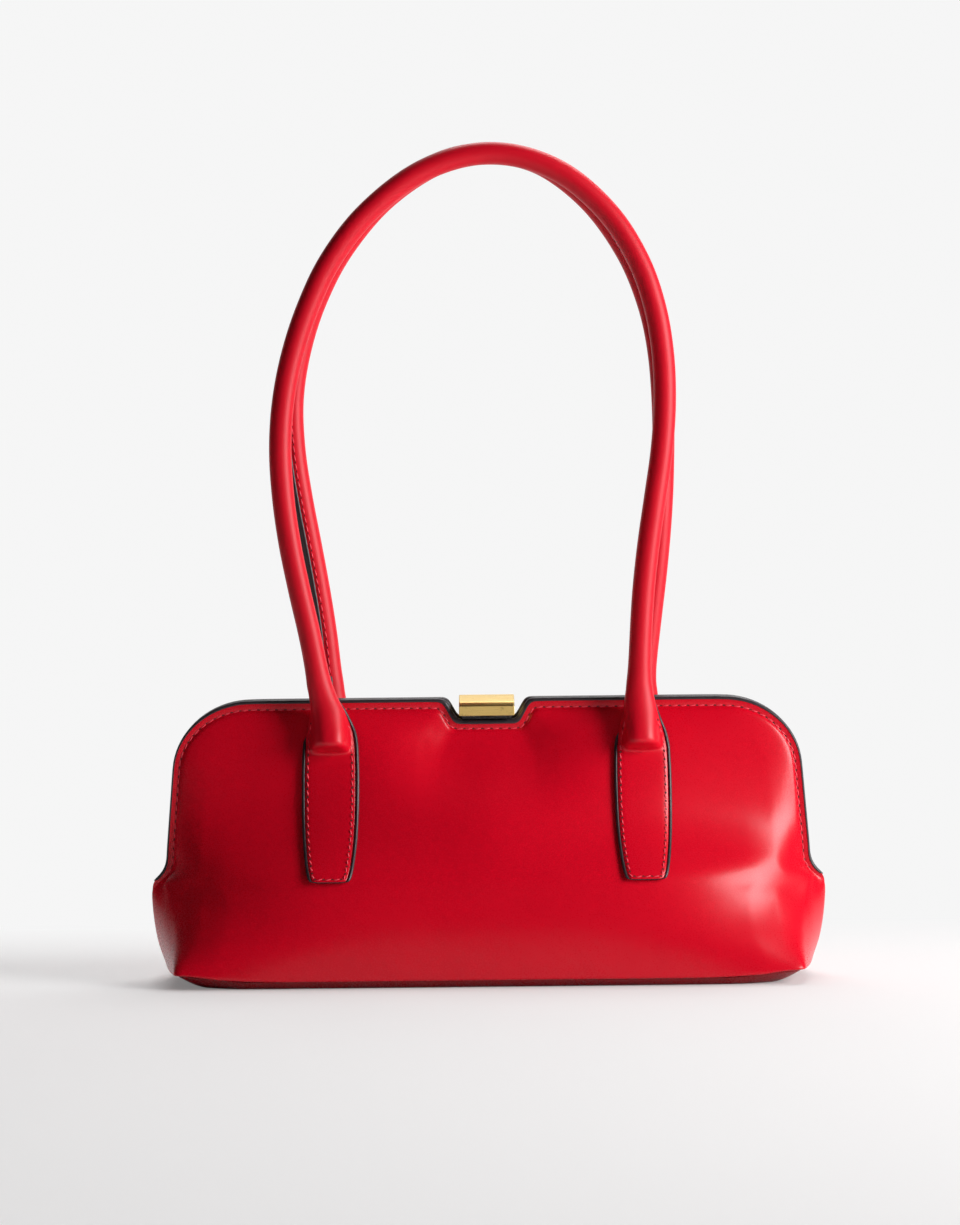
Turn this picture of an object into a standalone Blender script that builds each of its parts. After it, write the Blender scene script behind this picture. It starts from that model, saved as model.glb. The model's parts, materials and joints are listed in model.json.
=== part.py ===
"""A structured leather bag on a hinged steel frame, with two rolled handles and a flip clasp.

X runs along the bag, -Y is the front, and the bag stands on Z = 0. Lengths are metres.
"""

import math

import bmesh
import bpy
from mathutils import Vector

# Clearances and sheet thicknesses
CLEARANCE = 0.0003
RUNNING_CLEARANCE = 0.0001
LEATHER = 0.0015
FACING_THICKNESS = 0.0012
LINING_THICKNESS = 0.0008
CUT_OVERRUN = 0.0030

# Body
BODY_LENGTH = 0.2992
BODY_DEPTH = 0.0900
RIM_HEIGHT = 0.1248
HINGE_HEIGHT = 0.0425
BASE_SEAM_HEIGHT = 0.0065

# Lower walls
BASE_END_TUCK = 0.0066
RIDGE_BASE_SETBACK = 0.0150
RIDGE_TOP_SETBACK = 0.0028
RIDGE_BASE_DEPTH = 0.0425
RIDGE_TOP_DEPTH = 0.0035
WALL_LEAN = 0.0035
RIDGE_ROUND = 0.0100
LAP_HEIGHT = 0.0320
LAP_END_DROP = 0.0015
LAP_END_HEIGHT = HINGE_HEIGHT - LAP_END_DROP
LAP_RISE_START = 0.1050
LAP_RISE_END = 0.1430

# Base
BASE_PANEL_HEIGHT = 0.0046
BASE_PANEL_THICKNESS = 0.0018
BASE_EDGE_TUCK = 0.0045
WELT_RADIUS = 0.00065
BOARD_THICKNESS = 0.0024
LINING_HEIGHT = 0.0240

# Rim of the upper panels
RIM_DEPTH = 0.0033
RIM_TIP_RISE = 0.0020
RIM_TIP_HEIGHT = HINGE_HEIGHT + RIM_TIP_RISE
RIM_TIP_FLARE = 0.0070
RIM_FLARE_RISE = 0.0155
RIM_FLARE_HEIGHT = HINGE_HEIGHT + RIM_FLARE_RISE
RIM_SIDE_SETBACK = 0.0074
RIM_SHOULDER_SETBACK = 0.0102
CORNER_WIDTH = 0.0354
CORNER_HEIGHT = 0.0323
RIM_BAND_WIDTH = 0.0050
TRIM_WIDTH = 0.0009
TRIM_CHAMFER = 0.0005

# Notch for the clasp
NOTCH_WIDTH = 0.0260
NOTCH_FLARE = 0.0053
NOTCH_DEPTH = 0.0095
NOTCH_ROUND = 0.0026
NOTCH_DRAWN_HEIGHT = 0.0160
NOTCH_FADE_WIDTH = 0.0300

# Puffed face of the upper panels
PUFF_STEP_DEPTH = 0.0024
PUFF_STEP_WIDTH = 0.0020
UPPER_DEPTH = 0.0406
UPPER_LAP = 0.0025
FOOT_SETTLE = 0.0160

# Frames and their hinge
FRAME_INSET = 0.0079
FRAME_WIDTH = 0.0064
FRAME_THICKNESS = 0.0018
KNUCKLE_RADIUS = 0.0026
HINGE_PIN_RADIUS = 0.00125
HINGE_PIN_HEAD_RADIUS = 0.0021
HINGE_PIN_HEAD_LENGTH = 0.0008
ANCHOR_THICKNESS = 0.0014
ANCHOR_EYE_RADIUS = 0.00215
ANCHOR_WIDTH = 0.0070
ANCHOR_FOOT_DROP = 0.0140
ANCHOR_FOOT_HEIGHT = HINGE_HEIGHT - ANCHOR_FOOT_DROP
ANCHOR_SHOULDER_DROP = 0.0040
ANCHOR_SHOULDER_HEIGHT = HINGE_HEIGHT - ANCHOR_SHOULDER_DROP
FACING_WIDTH = 0.0138
FACING_END_RISE = 0.0037
FACING_END_HEIGHT = HINGE_HEIGHT + FACING_END_RISE
LINING_INSET = 0.0165
LINING_SHORTFALL = 0.0015

# Handle tabs, which stand below the handles' necks
HANDLE_ARCH_WIDTH = 0.0914
TAB_NECK_SHARE = 0.755
TAB_PAIR_WIDTH = 2 * TAB_NECK_SHARE * HANDLE_ARCH_WIDTH
TAB_FOOT_HEIGHT = 0.0454
TAB_WIDTH = 0.0246
TAB_THICKNESS = 0.0016
TAB_ROLL_DROP = 0.0248
TAB_ROLL_HEIGHT = RIM_HEIGHT - TAB_ROLL_DROP
TAB_ROLL_WIDTH = 0.0165
STIFFENER_MARGIN = 0.0030
STIFFENER_TOP_DROP = 0.0228
STIFFENER_TOP_HEIGHT = RIM_HEIGHT - STIFFENER_TOP_DROP

# Handles
HANDLE_RADIUS = 0.0050
HANDLE_WALL = 0.0013
HANDLE_PIVOT_DROP = 0.0008
HANDLE_PIVOT_HEIGHT = RIM_HEIGHT - HANDLE_PIVOT_DROP
HANDLE_PIVOT_DEPTH = 0.0130
HANDLE_ARCH_HEIGHT = 0.2440
HANDLE_TOP_DEPTH = 0.0062

# Clasp
CLASP_WIDTH = 0.0246
CLASP_FRONT_DEPTH = 0.0075
CLASP_FOOT_DROP = 0.0079
CLASP_FOOT_HEIGHT = RIM_HEIGHT - CLASP_FOOT_DROP
CLASP_FACE_HEIGHT = 0.0043
CLASP_CHAMFER = 0.0017
CLASP_TOP_DEPTH = 0.0060
CLASP_TOP_RISE = 0.0031
CLASP_REAR_DEPTH = 0.0071
CLASP_REAR_FOOT_DROP = 0.0048
CLASP_REAR_FOOT_HEIGHT = RIM_HEIGHT - CLASP_REAR_FOOT_DROP
CLASP_WALL = 0.0012
CLASP_PIN_RADIUS = 0.0009
CLASP_PIN_DEPTH = 0.0036
CLASP_PIN_DROP = 0.0036
CLASP_PIN_HEIGHT = RIM_HEIGHT - CLASP_PIN_DROP
CLASP_EYE_RADIUS = 0.0019
CLASP_EYE_WIDTH = 0.0070
PLATE_WIDTH = 0.0220
PLATE_THICKNESS = 0.0012
PLATE_FOOT_DROP = 0.0222
PLATE_FOOT_HEIGHT = RIM_HEIGHT - PLATE_FOOT_DROP
KEEPER_LIP_DEPTH = 0.0055
KEEPER_LIP_THICKNESS = 0.0009
BRACKET_DROP = 0.0076
BRACKET_HEIGHT = RIM_HEIGHT - BRACKET_DROP
RIVET_PAIR_WIDTH = 0.0140
RIVET_DROP = 0.0200
RIVET_HEIGHT = RIM_HEIGHT - RIVET_DROP
RIVET_RADIUS = 0.0012
RIVET_HEAD_RADIUS = 0.0020
RIVET_HEAD_LENGTH = 0.0007
SPRING_WIRE_RADIUS = 0.00028
SPRING_RADIUS = 0.0015
SPRING_PITCH_LENGTH = 0.0012
SPRING_LEG_LENGTH = 0.0040
SPRING_TURNS = 4
SPRING_STEPS = 10

# Shapes, as shares of the sizes above, powers, angles in degrees and counts
PUFF_SIDE_POWER = 5
PUFF_SOFT_POWER = 1.3
PUFF_FIRM_POWER = 6
DRAWN_POWER = 0.6
FLARE_POWER = 3
LEAN_POWER = 3
END_TUCK_POWER = 2.2
RIM_TOP_SHARES = (0.33, 0.66)
NOTCH_FLOOR_SHARE = 0.6
RIDGE_LEG_SHARE = 0.45
END_WALL_SHARE = 0.55
BASE_ROUND_SHARES = ((0.0, 0.62), (0.3, 0.25), (1.0, 0.0))
SLOPE_ALLOWANCE = 1.35
RIVET_DOME_SHARE = 0.7
EYE_START_ANGLE = -60
EYE_SWEEP_ANGLE = 240
SHARP_ANGLE = 35
ARC_STEPS = 10
SPLINE_STEPS = 8
TURNED_SIDES = 16
CLASP_PIN_SIDES = 14
RIVET_SIDES = 10
CORD_SIDES = 5
PUFF_TOP_SOFT_SHARE = 0.78
WALL_FRONT_POWER = 6
WALL_FRONT_SHARES = (0.0, 0.3, 0.54, 0.7, 0.8, 0.88, 0.95)
WALL_HEIGHT_SHARES = (0.0, 0.25, 0.5, 0.75, 1.0)
LINING_HEIGHT_SHARES = (0.0, 0.5, 1.0)
RIDGE_SHARES = (0.0, 0.33, 0.67, 1.0)
STIFFENER_UP_SHARES = (0.0, 0.2, 0.4, 0.6, 0.8, 1.0)
STIFFENER_ACROSS_SHARES = (-1.0, 0.0, 1.0)
CORNER_STEPS = 6
TAB_SHARES = ((0.0, 0.52), (0.035, 0.69), (0.20, 0.76), (0.42, 0.88), (0.62, 1.0), (0.745, 0.95),
              (0.80, 0.88), (0.90, 0.76), (1.0, 0.62))
TAB_ACROSS_SHARES = (-1.0, -0.66, -0.4, 0.0, 0.4, 0.66, 1.0)
BUTT_SHARES = (0.5, 0.87)
HANDLE_SAMPLES = 30
HANDLE_SIDES = 10
FRONT_HANDLE_SHARES = (
    (-0.765, 0.0), (-0.81, 0.04), (-0.865, 0.11), (-0.945, 0.26), (-0.995, 0.40), (-0.985, 0.55),
    (-0.91, 0.69), (-0.76, 0.81), (-0.56, 0.90), (-0.29, 0.965), (0.05, 1.0), (0.27, 0.983),
    (0.43, 0.94), (0.60, 0.865), (0.715, 0.80), (0.80, 0.73), (0.87, 0.59), (0.865, 0.47),
    (0.81, 0.325), (0.755, 0.175), (0.745, 0.035), (0.745, 0.0))
REAR_HANDLE_SHARES = (
    (-0.755, 0.0), (-0.77, 0.04), (-0.825, 0.185), (-0.895, 0.33), (-0.955, 0.51), (-0.945, 0.60),
    (-0.90, 0.70), (-0.80, 0.79), (-0.60, 0.885), (-0.32, 0.955), (0.0, 0.985), (0.30, 0.955),
    (0.54, 0.88), (0.70, 0.80), (0.815, 0.73), (0.865, 0.62), (0.88, 0.52), (0.855, 0.36),
    (0.815, 0.185), (0.77, 0.07), (0.755, 0.0))

FRONT, REAR = -1, 1
LEFT, RIGHT = -1, 1
SIDE_NAMES = {LEFT: "left", RIGHT: "right"}
HALF_NAMES = {FRONT: "front", REAR: "rear"}


def clear_scene():
    for obj in list(bpy.data.objects):
        bpy.data.objects.remove(obj, do_unlink=True)


def make_material(name, colour, roughness, metallic=0.0):
    material = bpy.data.materials.new(name)
    material.use_nodes = True
    shader = material.node_tree.nodes["Principled BSDF"]
    shader.inputs["Base Color"].default_value = (*colour, 1.0)
    shader.inputs["Roughness"].default_value = roughness
    shader.inputs["Metallic"].default_value = metallic
    return material


def make_axis(name, location):
    """An empty on a joint's axis; the pieces that move about it are its children."""
    axis = bpy.data.objects.new(name, None)
    axis.location = location
    bpy.context.collection.objects.link(axis)
    return axis


def add_object(name, bm, material=None, axis=None, smooth=True):
    bmesh.ops.recalc_face_normals(bm, faces=bm.faces)
    mesh = bpy.data.meshes.new(name)
    bm.to_mesh(mesh)
    bm.free()
    if smooth:
        mesh.shade_smooth()
        mesh.set_sharp_from_angle(angle=math.radians(SHARP_ANGLE))
    obj = bpy.data.objects.new(name, mesh)
    bpy.context.collection.objects.link(obj)
    if material:
        mesh.materials.append(material)
    if axis:
        obj.parent = axis
        obj.location = -axis.location
    return obj


def smoothstep(value):
    value = min(max(value, 0.0), 1.0)
    return value * value * (3 - 2 * value)


def blend(low, high, share):
    return low + (high - low) * share


def strips(bm, rows, closed=False):
    """Quads between successive rows of vertices."""
    for row, after in zip(rows, rows[1:]):
        count = len(row)
        for i in range(count if closed else count - 1):
            j = (i + 1) % count
            bm.faces.new((row[i], row[j], after[j], after[i]))


def vertex_rows(bm, rows):
    return [[bm.verts.new(point) for point in row] for row in rows]


def loft(rings):
    """A closed solid through rings of points, capped at both ends."""
    bm = bmesh.new()
    rows = vertex_rows(bm, rings)
    strips(bm, rows, closed=True)
    bm.faces.new(rows[0])
    bm.faces.new(rows[-1])
    return bm


def sleeve(outer, inner):
    """A tube wall between an outer and an inner row of rings, open at both ends."""
    bm = bmesh.new()
    outside = vertex_rows(bm, outer)
    inside = vertex_rows(bm, inner)
    strips(bm, outside, closed=True)
    strips(bm, inside, closed=True)
    strips(bm, [outside[0], inside[0]], closed=True)
    strips(bm, [outside[-1], inside[-1]], closed=True)
    return bm


def prism(outline, low, high):
    """An outline of (y, z) points, extruded along X."""
    return loft([[(x, y, z) for y, z in outline] for x in (low, high)])


def add_sheet(name, bm, half, thickness, material, axis):
    """A sheet facing outwards on one half of the bag, with its wall behind it."""
    obj = add_object(name, bm, material, axis)
    if obj.data.polygons[0].normal.y * half < 0:
        obj.data.flip_normals()
    solidify = obj.modifiers.new("wall", "SOLIDIFY")
    solidify.thickness = thickness
    solidify.offset = -1
    solidify.use_even_offset = True


def boolean(obj, tool, operation="DIFFERENCE"):
    tool.hide_render = True
    tool.display_type = "WIRE"
    modifier = obj.modifiers.new(tool.name, "BOOLEAN")
    modifier.operation = operation
    modifier.object = tool
    modifier.solver = "EXACT"


def box(name, low, high, axis=None):
    bm = bmesh.new()
    bmesh.ops.create_cube(bm, size=1)
    for vert in bm.verts:
        vert.co = [blend(a, b, c + 0.5) for a, b, c in zip(low, high, vert.co)]
    return add_object(name, bm, axis=axis, smooth=False)


def circle(radius, sides, start=0.0):
    turns = [start + 2 * math.pi * i / sides for i in range(sides)]
    return [(radius * math.cos(turn), radius * math.sin(turn)) for turn in turns]


def turned(name, profile, place, direction, material=None, axis=None, sides=TURNED_SIDES):
    """A turned piece: (distance along, radius) pairs about a line along X or Y."""
    rings = []
    for along, radius in profile:
        ring = []
        for a, b in circle(radius, sides, math.pi / sides):
            offset = (along, a, b) if direction == "X" else (a, along, b)
            ring.append([p + q for p, q in zip(place, offset)])
        rings.append(ring)
    return add_object(name, loft(rings), material, axis)


def spline(points, samples):
    """Even steps along a smooth curve through the points."""
    ends = [points[0] * 2 - points[1]] + points + [points[-1] * 2 - points[-2]]
    fine = []
    for a, b, c, d in zip(ends, ends[1:], ends[2:], ends[3:]):
        for i in range(SPLINE_STEPS):
            t = i / SPLINE_STEPS
            fine.append(0.5 * ((2 * b) + (c - a) * t + (2 * a - 5 * b + 4 * c - d) * t ** 2
                               + (3 * b - a - 3 * c + d) * t ** 3))
    fine.append(points[-1])
    lengths = [0.0]
    for a, b in zip(fine, fine[1:]):
        lengths.append(lengths[-1] + (b - a).length)
    result = []
    k = 0
    for i in range(samples):
        target = lengths[-1] * i / (samples - 1)
        while k < len(fine) - 2 and lengths[k + 1] < target:
            k += 1
        share = (target - lengths[k]) / (lengths[k + 1] - lengths[k])
        result.append(fine[k].lerp(fine[k + 1], min(share, 1.0)))
    return result


# Outline of the rim, from the hinge tip up the right side to the middle of the notch

def side_x(height, inset, flare=True):
    half = BODY_LENGTH / 2
    share = (height - RIM_FLARE_HEIGHT) / (RIM_HEIGHT - CORNER_HEIGHT - RIM_FLARE_HEIGHT)
    x = half - blend(RIM_SIDE_SETBACK, RIM_SHOULDER_SETBACK, max(share, 0.0)) - inset
    if flare and height < RIM_FLARE_HEIGHT:
        share = (RIM_FLARE_HEIGHT - height) / (RIM_FLARE_HEIGHT - RIM_TIP_HEIGHT)
        x += RIM_TIP_FLARE * share ** FLARE_POWER
    return x


def rounded(before, corner, after, radius, steps=2):
    """Points of a rounded corner: a curve from one leg to the other."""
    first = corner + (before - corner).normalized() * radius
    last = corner + (after - corner).normalized() * radius
    points = []
    for i in range(steps + 1):
        t = i / steps
        points.append(first.lerp(corner, t).lerp(corner.lerp(last, t), t))
    return points


def side_path(inset, bottom, flare=True):
    """Points (x, z) from the bottom of the right side to the middle of the top corner."""
    shoulder = RIM_HEIGHT - CORNER_HEIGHT
    heights = [blend(bottom, RIM_FLARE_HEIGHT, i / 3) for i in range(3)] if flare else [bottom]
    heights += [blend(RIM_FLARE_HEIGHT, shoulder, i / 3) for i in range(4)]
    points = [Vector((side_x(z, inset, flare), z)) for z in heights]
    return points + corner_path(inset, range(1, CORNER_STEPS // 2 + 1))


def corner_path(inset, steps):
    centre_x = side_x(RIM_HEIGHT - CORNER_HEIGHT, 0.0) - CORNER_WIDTH
    centre_z = RIM_HEIGHT - CORNER_HEIGHT
    points = []
    for step in steps:
        turn = math.pi / 2 * step / CORNER_STEPS
        points.append(Vector((centre_x + (CORNER_WIDTH - inset) * math.cos(turn),
                              centre_z + (CORNER_HEIGHT - inset) * math.sin(turn))))
    return points


def top_path(inset):
    """Points (x, z) from the middle of the top corner to the middle of the notch."""
    points = corner_path(inset, range(CORNER_STEPS // 2, CORNER_STEPS + 1))
    top = RIM_HEIGHT - inset
    slope = math.atan2(NOTCH_DEPTH, NOTCH_FLARE)
    widen = inset * math.tan(slope / 2)
    lip = Vector((NOTCH_WIDTH / 2 + NOTCH_FLARE + widen, top))
    foot = Vector((NOTCH_WIDTH / 2 + widen, top - NOTCH_DEPTH))
    middle = Vector((0.0, foot.y))
    edge = points[-1]
    points += [edge.lerp(lip, share) for share in RIM_TOP_SHARES]
    points += rounded(edge, lip, foot, NOTCH_ROUND)
    points += rounded(lip, foot, middle, NOTCH_ROUND)
    return points + [foot.lerp(middle, NOTCH_FLOOR_SHARE), middle]


def mirrored(points):
    """Carries a right-hand path on across the middle and down the left-hand side."""
    return points + [Vector((-p.x, p.y)) for p in reversed(points[:-1])]


def rim_path(inset, bottom=RIM_TIP_HEIGHT, flare=True):
    return mirrored(side_path(inset, bottom, flare) + top_path(inset)[1:])


def rim_strip(half, section, bottom=RIM_TIP_HEIGHT, flare=True):
    """A strip that follows the rim; section holds (inset, depth) pairs."""
    paths = [(rim_path(inset, bottom, flare), depth) for inset, depth in section]
    rings = []
    for i in range(len(paths[0][0])):
        rings.append([(path[i].x, half * depth, path[i].y) for path, depth in paths])
    return loft(rings)


# Faces of the upper panels

def side_edge_x(z, inset):
    """Half width of the outline at a height, through the rounded corner too."""
    centre_z = RIM_HEIGHT - CORNER_HEIGHT
    z = max(z, RIM_TIP_HEIGHT)
    if z <= centre_z:
        return side_x(z, inset)
    lift = min((z - centre_z) / (CORNER_HEIGHT - inset), 1.0)
    return side_x(centre_z, 0.0) - CORNER_WIDTH + (CORNER_WIDTH - inset) * math.sqrt(1 - lift ** 2)


def top_edge_z(x, inset):
    """Height of the outline's top edge at an x, down into the notch."""
    widen = inset * math.tan(math.atan2(NOTCH_DEPTH, NOTCH_FLARE) / 2)
    climb = (abs(x) - NOTCH_WIDTH / 2 - widen) / NOTCH_FLARE
    return RIM_HEIGHT - inset - NOTCH_DEPTH * (1 - min(max(climb, 0.0), 1.0))


def puffed_depth(x, z, inset, rim, full):
    """Depth of a puffed face: flat at its edge, fullest low down, drawn in below the notch."""
    rise = (z - RIM_TIP_HEIGHT) / (RIM_HEIGHT - inset - RIM_TIP_HEIGHT)
    rise = min(max(rise, 0.0), 1.0)
    drawn = min(max((top_edge_z(x, inset) - z) / NOTCH_DRAWN_HEIGHT, 0.0), 1.0) ** DRAWN_POWER
    drawn = blend(drawn, 1.0, smoothstep((abs(x) - NOTCH_WIDTH / 2) / NOTCH_FADE_WIDTH))
    slope = blend(rise ** PUFF_FIRM_POWER, rise ** PUFF_SOFT_POWER, PUFF_TOP_SOFT_SHARE)
    side = min(abs(x) / max(side_edge_x(z, inset), CLEARANCE), 1.0) ** PUFF_SIDE_POWER
    return rim + (full - rim) * (1 - side) * (1 - slope) * drawn


def wall_depth(x, z):
    """Depth of the upper panel's outer face inside the stitched band."""
    inset = RIM_BAND_WIDTH + PUFF_STEP_WIDTH
    return puffed_depth(x, z, inset, RIM_DEPTH + PUFF_STEP_DEPTH, UPPER_DEPTH)


def lap_height(x):
    """Top edge of the lower wall."""
    share = (abs(x) - LAP_RISE_START) / (LAP_RISE_END - LAP_RISE_START)
    return blend(LAP_HEIGHT, LAP_END_HEIGHT, smoothstep(share))


def length_shares(points):
    lengths = [0.0]
    for a, b in zip(points, points[1:]):
        lengths.append(lengths[-1] + (b - a).length)
    return [length / lengths[-1] for length in lengths]


def face_points(inset, drop, rim, full):
    """A grid of (x, depth, z) rows over the face within an inset of the outline, bottom to top."""
    side = side_path(inset, RIM_TIP_HEIGHT)
    top = mirrored(top_path(inset))
    across = length_shares(top)
    rows = []
    for up_share, right in zip(length_shares(side), side):
        row = []
        for share, top_point in zip(across, top):
            foot_x = side[0].x * top_point.x / top[0].x
            settle = smoothstep((side[0].x - abs(foot_x)) / FOOT_SETTLE)
            foot = Vector((foot_x, blend(RIM_TIP_HEIGHT, lap_height(foot_x) - drop, settle)))
            edge = Vector((blend(right.x, -right.x, share), right.y))
            corner = Vector((blend(top[0].x, top[-1].x, share), top[0].y))
            base = Vector((blend(side[0].x, -side[0].x, share), side[0].y))
            point = foot.lerp(top_point, up_share) + edge - base.lerp(corner, up_share)
            row.append((point.x, puffed_depth(point.x, point.y, inset, rim, full), point.y))
        rows.append(row)
    return rows


def build_upper_panel(half, material, axis):
    """Leather of one opening half: flat stitched band, step over the frame, puffed face."""
    name = HALF_NAMES[half] + "_upper_panel"
    step_inset = RIM_BAND_WIDTH + PUFF_STEP_WIDTH
    edge = TRIM_WIDTH + CLEARANCE
    crown = RIM_DEPTH + PUFF_STEP_DEPTH
    bands = [(edge, RIM_DEPTH), (RIM_BAND_WIDTH, RIM_DEPTH)]
    side_band = [(side_path(inset, RIM_TIP_HEIGHT), depth) for inset, depth in bands]
    top_band = [(mirrored(top_path(inset)), depth) for inset, depth in bands]
    face = face_points(step_inset, UPPER_LAP, crown, UPPER_DEPTH)
    rows = []
    for i, row in enumerate(face):
        right = [(path[i].x, depth, path[i].y) for path, depth in side_band]
        left = [(-x, depth, z) for x, depth, z in reversed(right)]
        rows.append(right + row + left)
    bm = bmesh.new()
    grid = vertex_rows(bm, [[(x, half * depth, z) for x, depth, z in row] for row in rows])
    strips(bm, grid)
    count = len(bands)
    inner_row = grid[-1][count:-count]
    for k in reversed(range(count)):
        path, depth = top_band[k]
        outer = [grid[-1][k]]
        outer += [bm.verts.new((p.x, half * depth, p.y)) for p in path[1:-1]]
        outer.append(grid[-1][-1 - k])
        strips(bm, [inner_row, outer])
        inner_row = outer
    add_sheet(name, bm, half, LEATHER, material, axis)


def build_lining(half, material, axis):
    """Fabric behind the upper panel, from the inner edge of the frame down to the lap."""
    name = HALF_NAMES[half] + "_lining"
    behind = stiffener_back() + 2 * CLEARANCE
    rim = RIM_DEPTH + PUFF_STEP_DEPTH - LEATHER
    rows = face_points(LINING_INSET, UPPER_LAP - LINING_SHORTFALL, rim, UPPER_DEPTH - behind)
    kept = []
    for row in rows[::2]:
        points = [(x, max(min(depth, wall_depth(x, z) - behind), LINING_THICKNESS + CLEARANCE), z)
                  for x, depth, z in row[::2]]
        kept.append([(x, half * depth, z) for x, depth, z in points])
    bm = bmesh.new()
    strips(bm, vertex_rows(bm, kept))
    add_sheet(name, bm, half, LINING_THICKNESS, material, axis)


def build_edge_trim(half, material, axis):
    """Painted edge round the rim, over the edges of panel and facing."""
    name = HALF_NAMES[half] + "_edge_trim"
    back, front = CLEARANCE, RIM_DEPTH
    section = [(TRIM_WIDTH, back), (TRIM_CHAMFER, back), (0.0, back + TRIM_CHAMFER),
               (0.0, front - TRIM_CHAMFER), (TRIM_CHAMFER, front), (TRIM_WIDTH, front)]
    return add_object(name, rim_strip(half, section), material, axis)


def build_facing(half, material, axis):
    """Leather band inside the rim; it covers the frame."""
    name = HALF_NAMES[half] + "_facing"
    edge = TRIM_WIDTH + CLEARANCE
    section = [(edge, CLEARANCE), (edge, CLEARANCE + FACING_THICKNESS),
               (edge + FACING_WIDTH, CLEARANCE + FACING_THICKNESS), (edge + FACING_WIDTH, CLEARANCE)]
    return add_object(name, rim_strip(half, section, FACING_END_HEIGHT), material, axis)


def frame_depths():
    back = FACING_THICKNESS + 2 * CLEARANCE
    return back, back + FRAME_THICKNESS


def knuckle_span(half):
    """The front frame has the outer half of each leg's width for its knuckle, the rear the inner."""
    outer = side_x(RIM_FLARE_HEIGHT, FRAME_INSET, flare=False)
    inner = outer - FRAME_WIDTH
    middle = (outer + inner) / 2
    if half == FRONT:
        return middle + CLEARANCE / 2, outer
    return inner, middle - CLEARANCE / 2


def build_frame(half, material, axis):
    """Flat steel strip round the rim, its ends rolled into hinge knuckles."""
    name = HALF_NAMES[half] + "_frame"
    back, front = frame_depths()
    section = [(FRAME_INSET, back), (FRAME_INSET, front),
               (FRAME_INSET + FRAME_WIDTH, front), (FRAME_INSET + FRAME_WIDTH, back)]
    frame = add_object(name, rim_strip(half, section, HINGE_HEIGHT, flare=False), material, axis)
    low, high = knuckle_span(half)
    other_low, other_high = knuckle_span(-half)
    hole = HINGE_PIN_RADIUS + RUNNING_CLEARANCE
    relief = KNUCKLE_RADIUS + 2 * CLEARANCE
    spare = CUT_OVERRUN
    for side in (LEFT, RIGHT):
        label = name + "_" + SIDE_NAMES[side]
        ends = sorted((side * low, side * high))
        barrel = [(ends[0], KNUCKLE_RADIUS), (ends[1], KNUCKLE_RADIUS)]
        place = (0.0, 0.0, HINGE_HEIGHT)
        boolean(frame, turned(label + "_knuckle", barrel, place, "X", axis=axis), "UNION")
        gap_low = other_low - (spare if half == FRONT else CLEARANCE)
        gap_high = other_high + (CLEARANCE if half == FRONT else spare)
        clear = sorted((side * gap_low, side * gap_high))
        cutter = box(label + "_relief", (clear[0], -relief - spare, HINGE_HEIGHT - relief - spare),
                     (clear[1], relief + spare, HINGE_HEIGHT + relief), axis)
        boolean(frame, cutter)
        bore = [(ends[0] - spare, hole), (ends[1] + spare, hole)]
        boolean(frame, turned(label + "_bore", bore, place, "X", axis=axis))
    return frame


# Hinge pins and anchors

def wall_sizes(height, inset=0.0):
    """Sizes of the lower wall's plan at a height: middle depth, ridge x and depth, end x."""
    share = (height - BASE_PANEL_HEIGHT) / (RIM_TIP_HEIGHT - BASE_PANEL_HEIGHT)
    share = min(max(share, 0.0), 1.0)
    middle = BODY_DEPTH / 2 - WALL_LEAN * share ** LEAN_POWER - inset
    ridge_x = BODY_LENGTH / 2 - blend(RIDGE_BASE_SETBACK, RIDGE_TOP_SETBACK, share) - inset
    ridge_y = blend(RIDGE_BASE_DEPTH, RIDGE_TOP_DEPTH, share) - inset
    end_x = BODY_LENGTH / 2 - BASE_END_TUCK * (1 - share) ** END_TUCK_POWER - inset
    return middle, ridge_x, ridge_y, end_x


def wall_plan(height, inset=0.0):
    """Quarter plan of the lower wall, (x, depth) from the middle of the face to the end seam."""
    middle, ridge_x, ridge_y, end_x = wall_sizes(height, inset)
    end_leg = math.hypot(end_x - ridge_x, ridge_y)
    round_x = min(RIDGE_ROUND, RIDGE_LEG_SHARE * end_leg)

    def face_depth(x):
        return middle - (middle - ridge_y) * (x / ridge_x) ** WALL_FRONT_POWER

    start = Vector((ridge_x - round_x, face_depth(ridge_x - round_x)))
    ridge = Vector((ridge_x, ridge_y))
    end = Vector((end_x, 0.0))
    last = ridge.lerp(end, round_x / end_leg)
    points = [Vector((start.x * share, face_depth(start.x * share))) for share in WALL_FRONT_SHARES]
    points += [start.lerp(ridge, t).lerp(ridge.lerp(last, t), t) for t in RIDGE_SHARES]
    return points + [last.lerp(end, END_WALL_SHARE), end]


def wall_x_at(height, depth, inset):
    """x of the end wall at a height and a depth from the end seam."""
    ridge_x, ridge_y, end_x = wall_sizes(height, inset)[1:]
    return blend(end_x, ridge_x, depth / ridge_y)


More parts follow.
